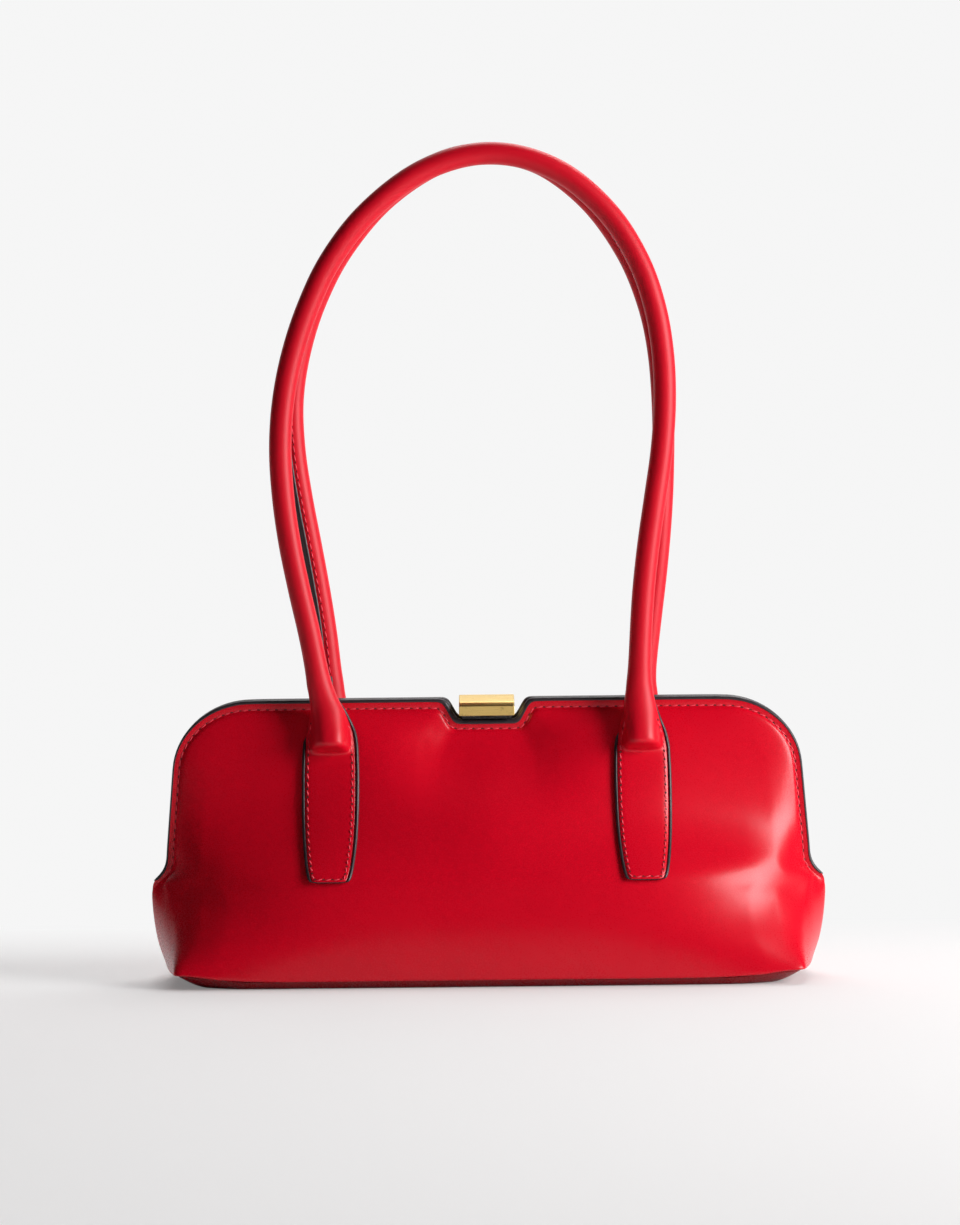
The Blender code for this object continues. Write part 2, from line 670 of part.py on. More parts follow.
def build_lower_panel(half, material):
    """Leather wall of the lower body, wrapped round to the two end seams."""
    guide = wall_plan((BASE_SEAM_HEIGHT + LAP_HEIGHT) / 2)
    faces = []
    for inset in (0.0, LEATHER):
        rows = []
        for share in WALL_HEIGHT_SHARES:
            row = []
            for k, point in enumerate(guide):
                z = blend(BASE_SEAM_HEIGHT, lap_height(point.x), share)
                x, depth = wall_plan(z, inset)[k]
                row.append((x, half * max(depth, CLEARANCE / 2), z))
            rows.append([(-x, y, z) for x, y, z in reversed(row[1:])] + row)
        faces.append(rows)
    bm = bmesh.new()
    outside, inside = [vertex_rows(bm, rows) for rows in faces]
    strips(bm, outside)
    strips(bm, inside)
    strips(bm, [outside[0], inside[0]])
    strips(bm, [outside[-1], inside[-1]])
    for end in (0, -1):
        strips(bm, [[row[end] for row in outside], [row[end] for row in inside]])
    return add_object(HALF_NAMES[half] + "_lower_panel", bm, material)


def plan_loop(height, inset):
    """The whole plan of the lower body as one closed loop of points."""
    quarter = [(p.x, p.y) for p in wall_plan(height, inset)]
    front_right = [(x, -y) for x, y in quarter]
    rear_right = [(x, y) for x, y in reversed(quarter[:-1])]
    right = front_right + rear_right
    left = [(-x, y) for x, y in reversed(right[1:-1])]
    return right + left


def plan_ring(height, inset, z):
    return [(x, y, z) for x, y in plan_loop(height, inset)]


def build_base(leather, board, lining):
    """Base panel with its turned-up edge, welt, board and the lining tub."""
    seam = BASE_PANEL_HEIGHT
    wall = BASE_PANEL_THICKNESS
    tuck = BASE_ROUND_SHARES[1][0] * BASE_EDGE_TUCK
    outer = [plan_ring(seam, CLEARANCE, seam)]
    outer += [plan_ring(seam, max(across * BASE_EDGE_TUCK, CLEARANCE), up * seam)
              for across, up in BASE_ROUND_SHARES]
    inner = [plan_ring(seam, wall, seam), plan_ring(seam, wall + tuck, wall)]
    add_object("base_panel", loft(list(reversed(outer)) + inner), leather)

    welt_height = seam + CLEARANCE + WELT_RADIUS
    loop = plan_loop(BASE_SEAM_HEIGHT, WELT_RADIUS)
    rings = []
    for i, (x, y) in enumerate(loop):
        before, after = Vector(loop[i - 1]), Vector(loop[(i + 1) % len(loop)])
        across = (after - before).normalized().orthogonal()
        rings.append([(x + across.x * a, y + across.y * a, welt_height + b)
                      for a, b in circle(WELT_RADIUS, CORD_SIDES)])
    bm = bmesh.new()
    rows = vertex_rows(bm, rings)
    strips(bm, rows + [rows[0]], closed=True)
    add_object("base_welt", bm, leather)

    board_inset = wall + tuck + CLEARANCE
    low = wall + CLEARANCE
    rings = [plan_ring(seam, board_inset, z) for z in (low, low + BOARD_THICKNESS)]
    add_object("base_board", loft(rings), board)

    floor = low + BOARD_THICKNESS + CLEARANCE
    inset = LEATHER + 3 * CLEARANCE
    outside = [plan_ring(seam, board_inset, floor)]
    inside = []
    for share in LINING_HEIGHT_SHARES:
        z = blend(floor + LINING_THICKNESS, LINING_HEIGHT, share)
        outside.append(plan_ring(z, inset + (1 - share) * CLEARANCE, z))
        inside.insert(0, plan_ring(z, inset + CLEARANCE + LINING_THICKNESS, z))
    add_object("lower_lining", loft(outside + inside), lining)


def build_hinge(side, steel):
    """Pin through both frames' knuckles, and the plate that holds it to the end seam."""
    name = SIDE_NAMES[side]
    inner = knuckle_span(REAR)[0] - CLEARANCE
    half_width = ANCHOR_WIDTH / 2
    outer = wall_x_at(LAP_END_HEIGHT, half_width, LEATHER) - CLEARANCE
    head = HINGE_PIN_HEAD_LENGTH
    place = (0.0, 0.0, HINGE_HEIGHT)
    profile = [(inner - head, HINGE_PIN_HEAD_RADIUS), (inner, HINGE_PIN_HEAD_RADIUS),
               (inner, HINGE_PIN_RADIUS), (outer, HINGE_PIN_RADIUS)]
    profile = [(side * along, radius) for along, radius in profile]
    turned(name + "_hinge_pin", profile, place, "X", steel)

    eye = [(ANCHOR_EYE_RADIUS * math.cos(turn), HINGE_HEIGHT + ANCHOR_EYE_RADIUS * math.sin(turn))
           for turn in [math.pi * i / ARC_STEPS for i in range(ARC_STEPS + 1)]]
    outline = eye + [(-ANCHOR_EYE_RADIUS, ANCHOR_SHOULDER_HEIGHT + half_width - ANCHOR_EYE_RADIUS),
                     (-half_width, ANCHOR_SHOULDER_HEIGHT), (-half_width, ANCHOR_FOOT_HEIGHT),
                     (half_width, ANCHOR_FOOT_HEIGHT), (half_width, ANCHOR_SHOULDER_HEIGHT),
                     (ANCHOR_EYE_RADIUS, ANCHOR_SHOULDER_HEIGHT + half_width - ANCHOR_EYE_RADIUS)]
    ends = sorted((side * (outer - ANCHOR_THICKNESS), side * outer))
    anchor = add_object(name + "_hinge_anchor", prism(outline, *ends), steel)
    bore = [(ends[0] - CUT_OVERRUN, HINGE_PIN_RADIUS + RUNNING_CLEARANCE),
            (ends[1] + CUT_OVERRUN, HINGE_PIN_RADIUS + RUNNING_CLEARANCE)]
    boolean(anchor, turned(name + "_hinge_anchor_bore", bore, place, "X"))


# Handle tabs and their stiffeners

def tab_surface(x, z):
    """Depth of whatever the tab lies on: puffed face, step or stitched band."""
    return max(wall_depth(x, z), RIM_DEPTH)


def tab_top():
    return HANDLE_PIVOT_HEIGHT - HANDLE_RADIUS - CLEARANCE


def build_tab(half, side, material, axis):
    """Flat stitched foot of a handle, swelling into the roll towards the neck."""
    name = HALF_NAMES[half] + "_" + SIDE_NAMES[side] + "_tab"
    rings = []
    for up, wide in TAB_SHARES:
        z = blend(TAB_FOOT_HEIGHT, tab_top(), up)
        half_width = wide * TAB_WIDTH / 2
        roll = smoothstep((z - TAB_ROLL_HEIGHT) / (tab_top() - TAB_ROLL_HEIGHT))
        under, over = [], []
        for share in TAB_ACROSS_SHARES:
            x = side * TAB_PAIR_WIDTH / 2 + share * half_width
            seat = tab_surface(x, z) + CLEARANCE
            flat = seat + TAB_THICKNESS
            bulge = max(1 - (share * half_width / (TAB_ROLL_WIDTH / 2)) ** 2, 0.0) ** 0.5
            crest = HANDLE_PIVOT_DEPTH + HANDLE_RADIUS * bulge
            depth = flat + roll * max(crest - flat, 0.0) * (1.0 if bulge > 0 else 0.0)
            under.append((x, half * seat, z))
            over.append((x, half * depth, z))
        rings.append(under + list(reversed(over)))
    add_object(name, loft(rings), material, axis)


def stiffener_back():
    """How far behind the wall's outer face the back of a stiffener lies, on the slope."""
    return SLOPE_ALLOWANCE * (LEATHER + CLEARANCE + LINING_THICKNESS)


def build_stiffener(half, side, material, axis):
    """Stiff patch behind a tab, between wall and lining."""
    name = HALF_NAMES[half] + "_" + SIDE_NAMES[side] + "_tab_stiffener"
    rows = []
    front = stiffener_back() - LINING_THICKNESS
    half_width = TAB_WIDTH / 2 - STIFFENER_MARGIN
    for up in STIFFENER_UP_SHARES:
        z = blend(TAB_FOOT_HEIGHT + STIFFENER_MARGIN, STIFFENER_TOP_HEIGHT, up)
        xs = [side * TAB_PAIR_WIDTH / 2 + share * half_width for share in STIFFENER_ACROSS_SHARES]
        rows.append([(x, half * (wall_depth(x, z) - front), z) for x in xs])
    bm = bmesh.new()
    strips(bm, vertex_rows(bm, rows))
    add_sheet(name, bm, half, LINING_THICKNESS, material, axis)


# Handles

def handle_line(half):
    shares = FRONT_HANDLE_SHARES if half == FRONT else REAR_HANDLE_SHARES
    points = []
    for x, up in shares:
        depth = blend(HANDLE_PIVOT_DEPTH, HANDLE_TOP_DEPTH, up)
        height = HANDLE_PIVOT_HEIGHT + up * HANDLE_ARCH_HEIGHT
        points.append(Vector((x * HANDLE_ARCH_WIDTH, half * depth, height)))
    return spline(points, HANDLE_SAMPLES)


def tube_rings(line, radii):
    rings = []
    count = len(line)
    for i, (centre, radius) in enumerate(zip(line, radii)):
        along = (line[min(i + 1, count - 1)] - line[max(i - 1, 0)]).normalized()
        out = Vector((0, 1, 0)) - along * along.y
        out.normalize()
        across = along.cross(out)
        rings.append([centre + across * a + out * b for a, b in circle(radius, HANDLE_SIDES)])
    return rings


def rounded_ends(line, radii, reach):
    """Adds the rounded butt beyond each end of a tube's line."""
    first = (line[0] - line[1]).normalized()
    last = (line[-1] - line[-2]).normalized()
    before = [line[0] + first * reach * step for step in BUTT_SHARES]
    after = [line[-1] + last * reach * step for step in BUTT_SHARES]
    shrink = [reach * math.sqrt(1 - step ** 2) for step in BUTT_SHARES]
    return before[::-1] + line + after, shrink[::-1] + radii + shrink


def build_handle(half, leather, filler, axis):
    """Rolled handle: a leather sleeve on a soft core."""
    name = HALF_NAMES[half] + "_handle"
    line = handle_line(half)
    bore = HANDLE_RADIUS - HANDLE_WALL
    outer_line, outer_radii = rounded_ends(line, [HANDLE_RADIUS] * len(line), HANDLE_RADIUS)
    inner_radii = [min(bore, radius - HANDLE_WALL) for radius in outer_radii]
    cover = sleeve(tube_rings(outer_line, outer_radii), tube_rings(outer_line, inner_radii))
    add_object(name + "_cover", cover, leather, axis)
    core = loft(tube_rings(line, [bore - CLEARANCE] * len(line)))
    add_object(name + "_core", core, filler, axis)


# Clasp

def rivet_profile(extra):
    """Countersunk head in the plate, shank, and the head formed on the strip."""
    strip_front = frame_depths()[1]
    plate_back = CLEARANCE + PLATE_THICKNESS
    shank = RIVET_RADIUS + extra
    if extra:
        return [(-CUT_OVERRUN, RIVET_HEAD_RADIUS + extra), (CLEARANCE, RIVET_HEAD_RADIUS + extra),
                (plate_back - CLEARANCE, shank), (strip_front + CUT_OVERRUN, shank)]
    return [(CLEARANCE, RIVET_HEAD_RADIUS), (plate_back - CLEARANCE, shank),
            (strip_front + CLEARANCE, shank), (strip_front + CLEARANCE, RIVET_HEAD_RADIUS),
            (strip_front + CLEARANCE + RIVET_HEAD_LENGTH, RIVET_DOME_SHARE * RIVET_HEAD_RADIUS)]


def build_rivets(half, name, plate, frame, metal, axis):
    for side in (LEFT, RIGHT):
        place = (side * RIVET_PAIR_WIDTH / 2, 0.0, RIVET_HEIGHT)
        label = SIDE_NAMES[side] + "_" + name + "_rivet"
        profile = [(half * along, radius) for along, radius in rivet_profile(0.0)]
        turned(label, profile, place, "Y", metal, axis, RIVET_SIDES)
        cut = [(half * along, radius) for along, radius in rivet_profile(RUNNING_CLEARANCE)]
        cutter = turned(label + "_hole", cut, place, "Y", None, axis, RIVET_SIDES)
        boolean(plate, cutter)
        boolean(frame, cutter)


def cut_for_plate(half, pieces, axis):
    """Recess that lets a clasp plate lie flush in the facing and behind the trim."""
    wide = PLATE_WIDTH / 2 + CLEARANCE
    ends = sorted((half * -CUT_OVERRUN, half * (2 * CLEARANCE + PLATE_THICKNESS)))
    cutter = box(HALF_NAMES[half] + "_plate_recess", (-wide, ends[0], PLATE_FOOT_HEIGHT - CLEARANCE),
                 (wide, ends[1], RIM_HEIGHT), axis)
    for piece in pieces:
        boolean(piece, cutter)


def build_keeper(material, axis):
    """Plate on the front frame whose lip lies under the clasp."""
    wide = PLATE_WIDTH / 2
    back, front = -CLEARANCE, -CLEARANCE - PLATE_THICKNESS
    top = CLASP_FOOT_HEIGHT - CLEARANCE
    under = top - KEEPER_LIP_THICKNESS
    outline = [(back, PLATE_FOOT_HEIGHT), (back, top), (-KEEPER_LIP_DEPTH, top),
               (-KEEPER_LIP_DEPTH, under), (front, under), (front, PLATE_FOOT_HEIGHT)]
    return add_object("clasp_keeper", prism(outline, -wide, wide), material, axis)


def build_bracket(material, axis):
    """Plate on the rear frame, with the eye that carries the clasp pin."""
    wide = PLATE_WIDTH / 2
    front, back = CLEARANCE, CLEARANCE + PLATE_THICKNESS
    outline = [(front, PLATE_FOOT_HEIGHT), (front, BRACKET_HEIGHT),
               (back, BRACKET_HEIGHT), (back, PLATE_FOOT_HEIGHT)]
    plate = add_object("clasp_bracket", prism(outline, -wide, wide), material, axis)
    eye_half = CLASP_EYE_WIDTH / 2
    eye_arc = [(CLASP_PIN_DEPTH + CLASP_EYE_RADIUS * math.cos(turn),
                CLASP_PIN_HEIGHT + CLASP_EYE_RADIUS * math.sin(turn))
               for turn in [math.radians(EYE_START_ANGLE + EYE_SWEEP_ANGLE * i / ARC_STEPS)
                            for i in range(ARC_STEPS + 1)]]
    neck = [(front + RUNNING_CLEARANCE, BRACKET_HEIGHT - PLATE_THICKNESS),
            (back - RUNNING_CLEARANCE, BRACKET_HEIGHT - PLATE_THICKNESS)]
    boolean(plate, add_object("clasp_eye", prism(eye_arc + neck, -eye_half, eye_half), axis=axis),
            "UNION")
    bore = [(-CLASP_WIDTH / 2, CLASP_PIN_RADIUS + RUNNING_CLEARANCE),
            (CLASP_WIDTH / 2, CLASP_PIN_RADIUS + RUNNING_CLEARANCE)]
    place = (0.0, CLASP_PIN_DEPTH, CLASP_PIN_HEIGHT)
    boolean(plate, turned("clasp_eye_bore", bore, place, "X", axis=axis, sides=CLASP_PIN_SIDES))
    return plate


def clasp_section(wall):
    """Outline (y, z) of the lever, or of its hollow when a wall is given."""
    foot = CLASP_FOOT_HEIGHT - (CUT_OVERRUN if wall else 0.0)
    rear_foot = CLASP_REAR_FOOT_HEIGHT - (CUT_OVERRUN if wall else 0.0)
    face_top = CLASP_FOOT_HEIGHT + CLASP_FACE_HEIGHT - 0.5 * wall
    front = -CLASP_FRONT_DEPTH + wall
    slope_foot = CLASP_FOOT_HEIGHT + CLASP_FACE_HEIGHT + CLASP_CHAMFER - wall
    rear_top = slope_foot + CLASP_TOP_RISE
    rear = CLASP_REAR_DEPTH - wall
    corner = CLASP_REAR_DEPTH - CLASP_TOP_DEPTH
    return [(front, foot), (front, face_top), (front + CLASP_CHAMFER - 0.5 * wall, slope_foot),
            (CLASP_TOP_DEPTH - wall, rear_top), (rear, rear_top - corner), (rear, rear_foot)]


def build_lever(material, axis):
    """Hollow bar over the notch; it swings up on the clasp pin."""
    half = CLASP_WIDTH / 2
    bm = prism([(y, z) for y, z in clasp_section(0.0)], -half, half)
    corners = [edge for edge in bm.edges
               if all(abs(abs(v.co.x) - half) < RUNNING_CLEARANCE for v in edge.verts)
               and edge.verts[0].co.x * edge.verts[1].co.x > 0]
    bmesh.ops.bevel(bm, geom=corners, offset=CLEARANCE, segments=1, affect="EDGES")
    lever = add_object("clasp_lever", bm, material, axis)
    inner = half - CLASP_WALL
    hollow = prism(clasp_section(CLASP_WALL), -inner, inner)
    boolean(lever, add_object("clasp_hollow", hollow, axis=axis))
    slot = CLASP_EYE_WIDTH / 2 + CLEARANCE
    boolean(lever, box("clasp_slot", (-slot, CLASP_PIN_DEPTH, CLASP_REAR_FOOT_HEIGHT - CUT_OVERRUN),
                       (slot, CLASP_REAR_DEPTH + CUT_OVERRUN, CLASP_PIN_HEIGHT + CLASP_EYE_RADIUS),
                       axis))
    bore = [(-half - CUT_OVERRUN, CLASP_PIN_RADIUS + RUNNING_CLEARANCE),
            (half + CUT_OVERRUN, CLASP_PIN_RADIUS + RUNNING_CLEARANCE)]
    place = (0.0, CLASP_PIN_DEPTH, CLASP_PIN_HEIGHT)
    boolean(lever, turned("clasp_bore", bore, place, "X", axis=axis, sides=CLASP_PIN_SIDES))


def build_spring(material, axis):
    """Torsion spring round the clasp pin; its leg lies forward in the lever's hollow."""
    steps = SPRING_STEPS * SPRING_TURNS
    start = CLASP_EYE_WIDTH / 2 + SPRING_WIRE_RADIUS + CLEARANCE
    line = []
    for i in range(steps + 1):
        turn = -math.pi / 2 - 2 * math.pi * i / SPRING_STEPS
        line.append(Vector((start + SPRING_PITCH_LENGTH * i / SPRING_STEPS,
                            CLASP_PIN_DEPTH + SPRING_RADIUS * math.cos(turn),
                            CLASP_PIN_HEIGHT + SPRING_RADIUS * math.sin(turn))))
    tip = line[-1] + Vector((0.0, -SPRING_LEG_LENGTH, 0.0))
    line += [line[-1].lerp(tip, 0.5), tip]
    rings = []
    for i, centre in enumerate(line):
        along = (line[min(i + 1, len(line) - 1)] - line[max(i - 1, 0)]).normalized()
        across = along.cross(Vector((1, 0, 0))).normalized()
        up = along.cross(across)
        rings.append([centre + across * a + up * b for a, b in circle(SPRING_WIRE_RADIUS, CORD_SIDES)])
    add_object("clasp_spring", loft(rings), material, axis)


def build():
    clear_scene()
    red = make_material("red_leather", (0.55, 0.003, 0.012), 0.28)
    black = make_material("black_edge_paint", (0.015, 0.012, 0.013), 0.35)
    steel = make_material("frame_steel", (0.35, 0.35, 0.36), 0.35, 1.0)
    gold = make_material("gold_plate", (0.62, 0.43, 0.14), 0.25, 1.0)
    cloth = make_material("lining_cloth", (0.02, 0.018, 0.018), 0.9)
    card = make_material("board", (0.30, 0.24, 0.17), 0.9)
    filler = make_material("handle_filler", (0.60, 0.58, 0.54), 0.9)

    hinge = (0.0, 0.0, HINGE_HEIGHT)
    halves = {FRONT: make_axis("front_half_axis", hinge), REAR: make_axis("rear_half_axis", hinge)}
    lever_axis = make_axis("clasp_lever_axis", (0.0, CLASP_PIN_DEPTH, CLASP_PIN_HEIGHT))

    build_base(red, card, cloth)
    for side in (LEFT, RIGHT):
        build_hinge(side, steel)
    frames = {}
    for half, axis in halves.items():
        build_lower_panel(half, red)
        build_upper_panel(half, red, axis)
        build_lining(half, cloth, axis)
        frames[half] = build_frame(half, steel, axis)
        trim = build_edge_trim(half, black, axis)
        facing = build_facing(half, red, axis)
        cut_for_plate(half, (trim, facing), axis)
        for side in (LEFT, RIGHT):
            build_tab(half, side, red, axis)
            build_stiffener(half, side, card, axis)
        pivot = (0.0, half * HANDLE_PIVOT_DEPTH, HANDLE_PIVOT_HEIGHT)
        build_handle(half, red, filler, make_axis(HALF_NAMES[half] + "_handle_axis", pivot))

    keeper = build_keeper(black, halves[FRONT])
    build_rivets(FRONT, "keeper", keeper, frames[FRONT], steel, halves[FRONT])
    bracket = build_bracket(gold, halves[REAR])
    build_rivets(REAR, "bracket", bracket, frames[REAR], steel, halves[REAR])
    pin = CLASP_WIDTH / 2 - CLEARANCE
    turned("clasp_pin", [(-pin, CLASP_PIN_RADIUS), (pin, CLASP_PIN_RADIUS)],
           (0.0, CLASP_PIN_DEPTH, CLASP_PIN_HEIGHT), "X", steel, halves[REAR], CLASP_PIN_SIDES)
    build_spring(steel, halves[REAR])
    build_lever(gold, lever_axis)


if __name__ == "__main__":
    build()
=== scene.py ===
"""Dresses the packed frame bag: leather walls, rims, linings, tabs, handles, stitches and clasp.

X runs along the bag, -Y is the front, and the bag stands on Z = 0. Lengths are metres, apart from the
tables and sections whose comments say millimetres.
"""

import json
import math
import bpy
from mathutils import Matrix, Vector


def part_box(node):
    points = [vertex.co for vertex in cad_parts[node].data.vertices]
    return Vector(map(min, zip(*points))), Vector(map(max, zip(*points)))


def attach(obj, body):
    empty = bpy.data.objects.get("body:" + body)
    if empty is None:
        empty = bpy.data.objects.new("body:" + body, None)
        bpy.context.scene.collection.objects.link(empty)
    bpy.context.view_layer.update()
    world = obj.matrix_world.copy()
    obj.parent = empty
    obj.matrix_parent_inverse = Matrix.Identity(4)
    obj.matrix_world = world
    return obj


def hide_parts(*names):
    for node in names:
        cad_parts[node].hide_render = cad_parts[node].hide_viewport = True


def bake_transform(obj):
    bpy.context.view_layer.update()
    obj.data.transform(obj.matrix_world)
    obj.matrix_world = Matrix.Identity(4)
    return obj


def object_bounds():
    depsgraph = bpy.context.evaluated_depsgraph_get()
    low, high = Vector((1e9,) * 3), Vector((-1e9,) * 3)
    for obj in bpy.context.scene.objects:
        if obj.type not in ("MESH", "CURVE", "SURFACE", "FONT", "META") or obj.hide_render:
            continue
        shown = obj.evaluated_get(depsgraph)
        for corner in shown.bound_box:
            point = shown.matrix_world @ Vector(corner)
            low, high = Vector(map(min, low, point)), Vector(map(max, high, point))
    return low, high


bl_info = {
    "name": "Frame bag",
    "version": (1, 0, 0),
    "blender": (4, 5, 0),
    "location": "3D View > Sidebar > Frame bag",
    "description": "Builds the leather, stitches and metal of a hinged frame bag round its solids",
    "category": "Object",
}

import bmesh
import bpy
import numpy as np
from mathutils import Matrix, Vector, noise

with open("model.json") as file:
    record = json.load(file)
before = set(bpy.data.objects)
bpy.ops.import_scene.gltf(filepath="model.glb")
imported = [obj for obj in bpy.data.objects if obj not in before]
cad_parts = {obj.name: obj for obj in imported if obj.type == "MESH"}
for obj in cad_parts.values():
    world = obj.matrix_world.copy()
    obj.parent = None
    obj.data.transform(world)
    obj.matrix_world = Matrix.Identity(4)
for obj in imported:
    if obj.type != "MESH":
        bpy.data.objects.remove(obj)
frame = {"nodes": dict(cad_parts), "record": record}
cad_low, cad_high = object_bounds()

FRONT, REAR = -1, 1
LEFT, RIGHT = -1, 1
HALVES = {FRONT: "front", REAR: "rear"}
SIDES = {LEFT: "left", RIGHT: "right"}
MM = 0.001

# Lower walls: their end ridges lean in from the base to the tips of the rim
RIDGE_BASE_SETBACK, RIDGE_TOP_SETBACK = 13.5 * MM, 15.5 * MM
RIDGE_BASE_DEPTH, RIDGE_TOP_DEPTH = 42.5 * MM, 12.5 * MM
WALL_LEAN, LEAN_POWER = 3.5 * MM, 3
BASE_END_TUCK, END_TUCK_POWER = 6.6 * MM, 2.2
# How square their plan is at the base and above it, and how far round the ridge is
BASE_SQUARENESS, WALL_SQUARENESS, SQUARE_REACH = 12, 5, 25 * MM
BASE_RIDGE_ROUND, WALL_RIDGE_ROUND, RIDGE_ROUND_REACH = 3 * MM, 9 * MM, 22 * MM
# Their end walls: the share that the ridge's round may take, the puff, and the seam down the end
RIDGE_LEG_SHARE, END_PUFF_SHARE, END_PUFF_MOST = 0.40, 0.02, 0.6 * MM
END_SEAM_TUCK, END_SEAM_HALF, END_SEAM_SHARE = (-0.7 * MM, 0.05 * MM), 0.8 * MM, 0.2
END_WALL_SHARES, RIDGE_ROUND_SHARES = (0.4, 0.75), (0.0, 0.25, 0.5, 0.75, 1.0)
# The lower form passes into the puffed face over this reach of height
MERGE_START, MERGE_REACH = 26 * MM, 34 * MM
# Rows of the wall below the tips, in millimetres: (height, tuck behind the face)
WALL_ROWS = ((3.7, 1.9), (3.8, 0.7), (4.1, 0.12), (4.9, 0), (7.5, 0), (11.5, 0), (16, 0), (21, 0), (26, 0),
             (31, 0), (36, 0), (41, 0))

# Base: it lifts towards its corners, and rolls in under the seam as (share of the way in, height)
WALL_FOOT, BASE_HEIGHT, SEAM_HEIGHT = 4.0 * MM, 4.6 * MM, 3.75 * MM
CORNER_LIFT, CORNER_START, CORNER_REACH, LIFT_FADE = 2.8 * MM, 106 * MM, 28 * MM, 16 * MM
# The base's leather colour is scaled down by this share: painted shade where the base rolls in under the
# wall
BASE_PAINTED_SHADE = 0.4
BASE_ROUND = ((0.12, 0.84), (0.28, 0.62), (0.47, 0.38), (0.68, 0.17), (0.86, 0.05), (1.0, 0.0))
# Above those the first rings are (share of the way in, rise in millimetres), and below them the underside
# closes at shares of its length and depth
SEAM_RINGS, UNDERSIDE = ((0.4, 0.5), (0.16, 0.25), (0.0, 0.0)), ((0.9, 0.8), (0.6, 0.3))
BASE_INSET, BASE_END_INSET, BASE_SIDE_INSET, BASE_CORNER = 1.5 * MM, 24 * MM, 7.5 * MM, 22 * MM
PLAN_SHARES = (0.0, 0.2, 0.4, 0.55, 0.68, 0.78, 0.86)
BOARD_END_INSET, BOARD_SIDE_INSET, BOARD_CORNER = 32 * MM, 13 * MM, 15 * MM
# Rings of the board and of the floor cloth, in millimetres: (inset, height)
BOARD_RINGS = ((0.4, 4.4), (0.0, 4.0), (0.0, 2.4), (0.4, 2.0))
CLOTH_RINGS = ((9.0, 8.6), (3.6, 8.6), (3.2, 9.4), (3.2, 12.0), (3.9, 12.0), (4.4, 9.9), (9.0, 9.4))

# Rim outline
RIM_DEPTH = 3.3 * MM
TIP_HEIGHT, FLARE_HEIGHT, SHOULDER_HEIGHT = 44.5 * MM, 58.0 * MM, 92.5 * MM
TIP_FLARE = 7.0 * MM
SIDE_SETBACK, SHOULDER_SETBACK = 7.4 * MM, 10.2 * MM
CORNER_WIDTH, CORNER_HEIGHT = 35.4 * MM, 32.3 * MM
NOTCH_HALF, NOTCH_FLARE, NOTCH_DEPTH, NOTCH_ROUND = 13.0 * MM, 5.3 * MM, 9.5 * MM, 2.8 * MM
FLARE_STEPS, SIDE_STEPS, CORNER_STEPS = 4, 6, 10
SPLIT = FLARE_STEPS + SIDE_STEPS + CORNER_STEPS // 2
NOTCH_STEPS = 4
RIM_TOP_SHARES, NOTCH_FLOOR_SHARES = (0.22, 0.44, 0.64, 0.82), (0.45, 0.72)

# Puffed faces: a padded step inside the stitches, then a swell that falls away to the top, to the sides
# and to the notch. A fall is the share that goes and the power that shapes it
STEP_DEPTH, STEP_WIDTH, PUFF_RAMP = 1.3 * MM, 3.6 * MM, 11 * MM
FACE_DEPTH = 41.5 * MM
TOP_FALL, LOW_SIDE_FALL, HIGH_SIDE_FALL = (0.9, 1.1), (0.80, 4.5), (0.93, 1.5)
FIRM_START, FIRM_REACH = 38 * MM, 42 * MM
DRAWN_HEIGHT, DRAWN_WIDTH = 42 * MM, 36 * MM
TOP_MARGIN, SIDE_MARGIN, NOTCH_MARGIN = 6 * MM, 4 * MM, 5 * MM

# Insets of lines along the rim, as (tip, side, top, notch)
BEAD_WIDTH = (2.6 * MM, 1.0 * MM, 1.9 * MM, 2.3 * MM)
REAR_RISE = (0.0, 0.0, -0.5 * MM, -1.2 * MM)
STITCH_INSET = (4.2 * MM, 3.2 * MM, 4.5 * MM, 4.3 * MM)
# Lines of the wall along the rim, in millimetres: (way in from the stitches, rise over the band, or None
# on the puffed face). The first line of all lies under a share of the bead, and the padded step starts a
# little inside the stitches
EDGE_LINES = ((-0.9, 0.0), (0.0, -0.22), (0.5, 0.0), (1.0, None), (2.0, None), (4.2, None), (7.5, None),
              (12.0, None))
BEAD_COVER = 0.35
STEP_START = 0.5
# Sections along the rim. Bead: (share of its width, rise in millimetres). Facing, in millimetres: (inset,
# depth)
BEAD_SECTION = ((1.0, 0.05), (0.85, 0.24), (0.45, 0.20), (0.14, -0.25), (0.0, -0.95))
BEAD_BACK, BEAD_BACK_SHARE = 0.35 * MM, 0.8
FACING_SECTION = ((1.0, 1.5), (1.0, 0.45), (1.6, 0.3), (13.8, 0.3), (14.6, 0.6), (14.8, 1.2), (14.2, 1.6))
PLATE_CLEARANCE, PLATE_CUT = 0.6 * MM, 3.6 * MM

# Lining: how far it lies behind the face, and its rows below the tips in millimetres
LINING_GAP, LINING_INSET, CLOTH_THICKNESS = 3.6 * MM, 13.6 * MM, 0.6 * MM
LINING_END_DEPTH, LINING_EDGE_DEPTH = 1.2 * MM, 1.3 * MM
LINING_HEIGHTS = (6.5, 7.5, 11.0, 16.0, 21.0, 26.0, 31.0, 36.0)

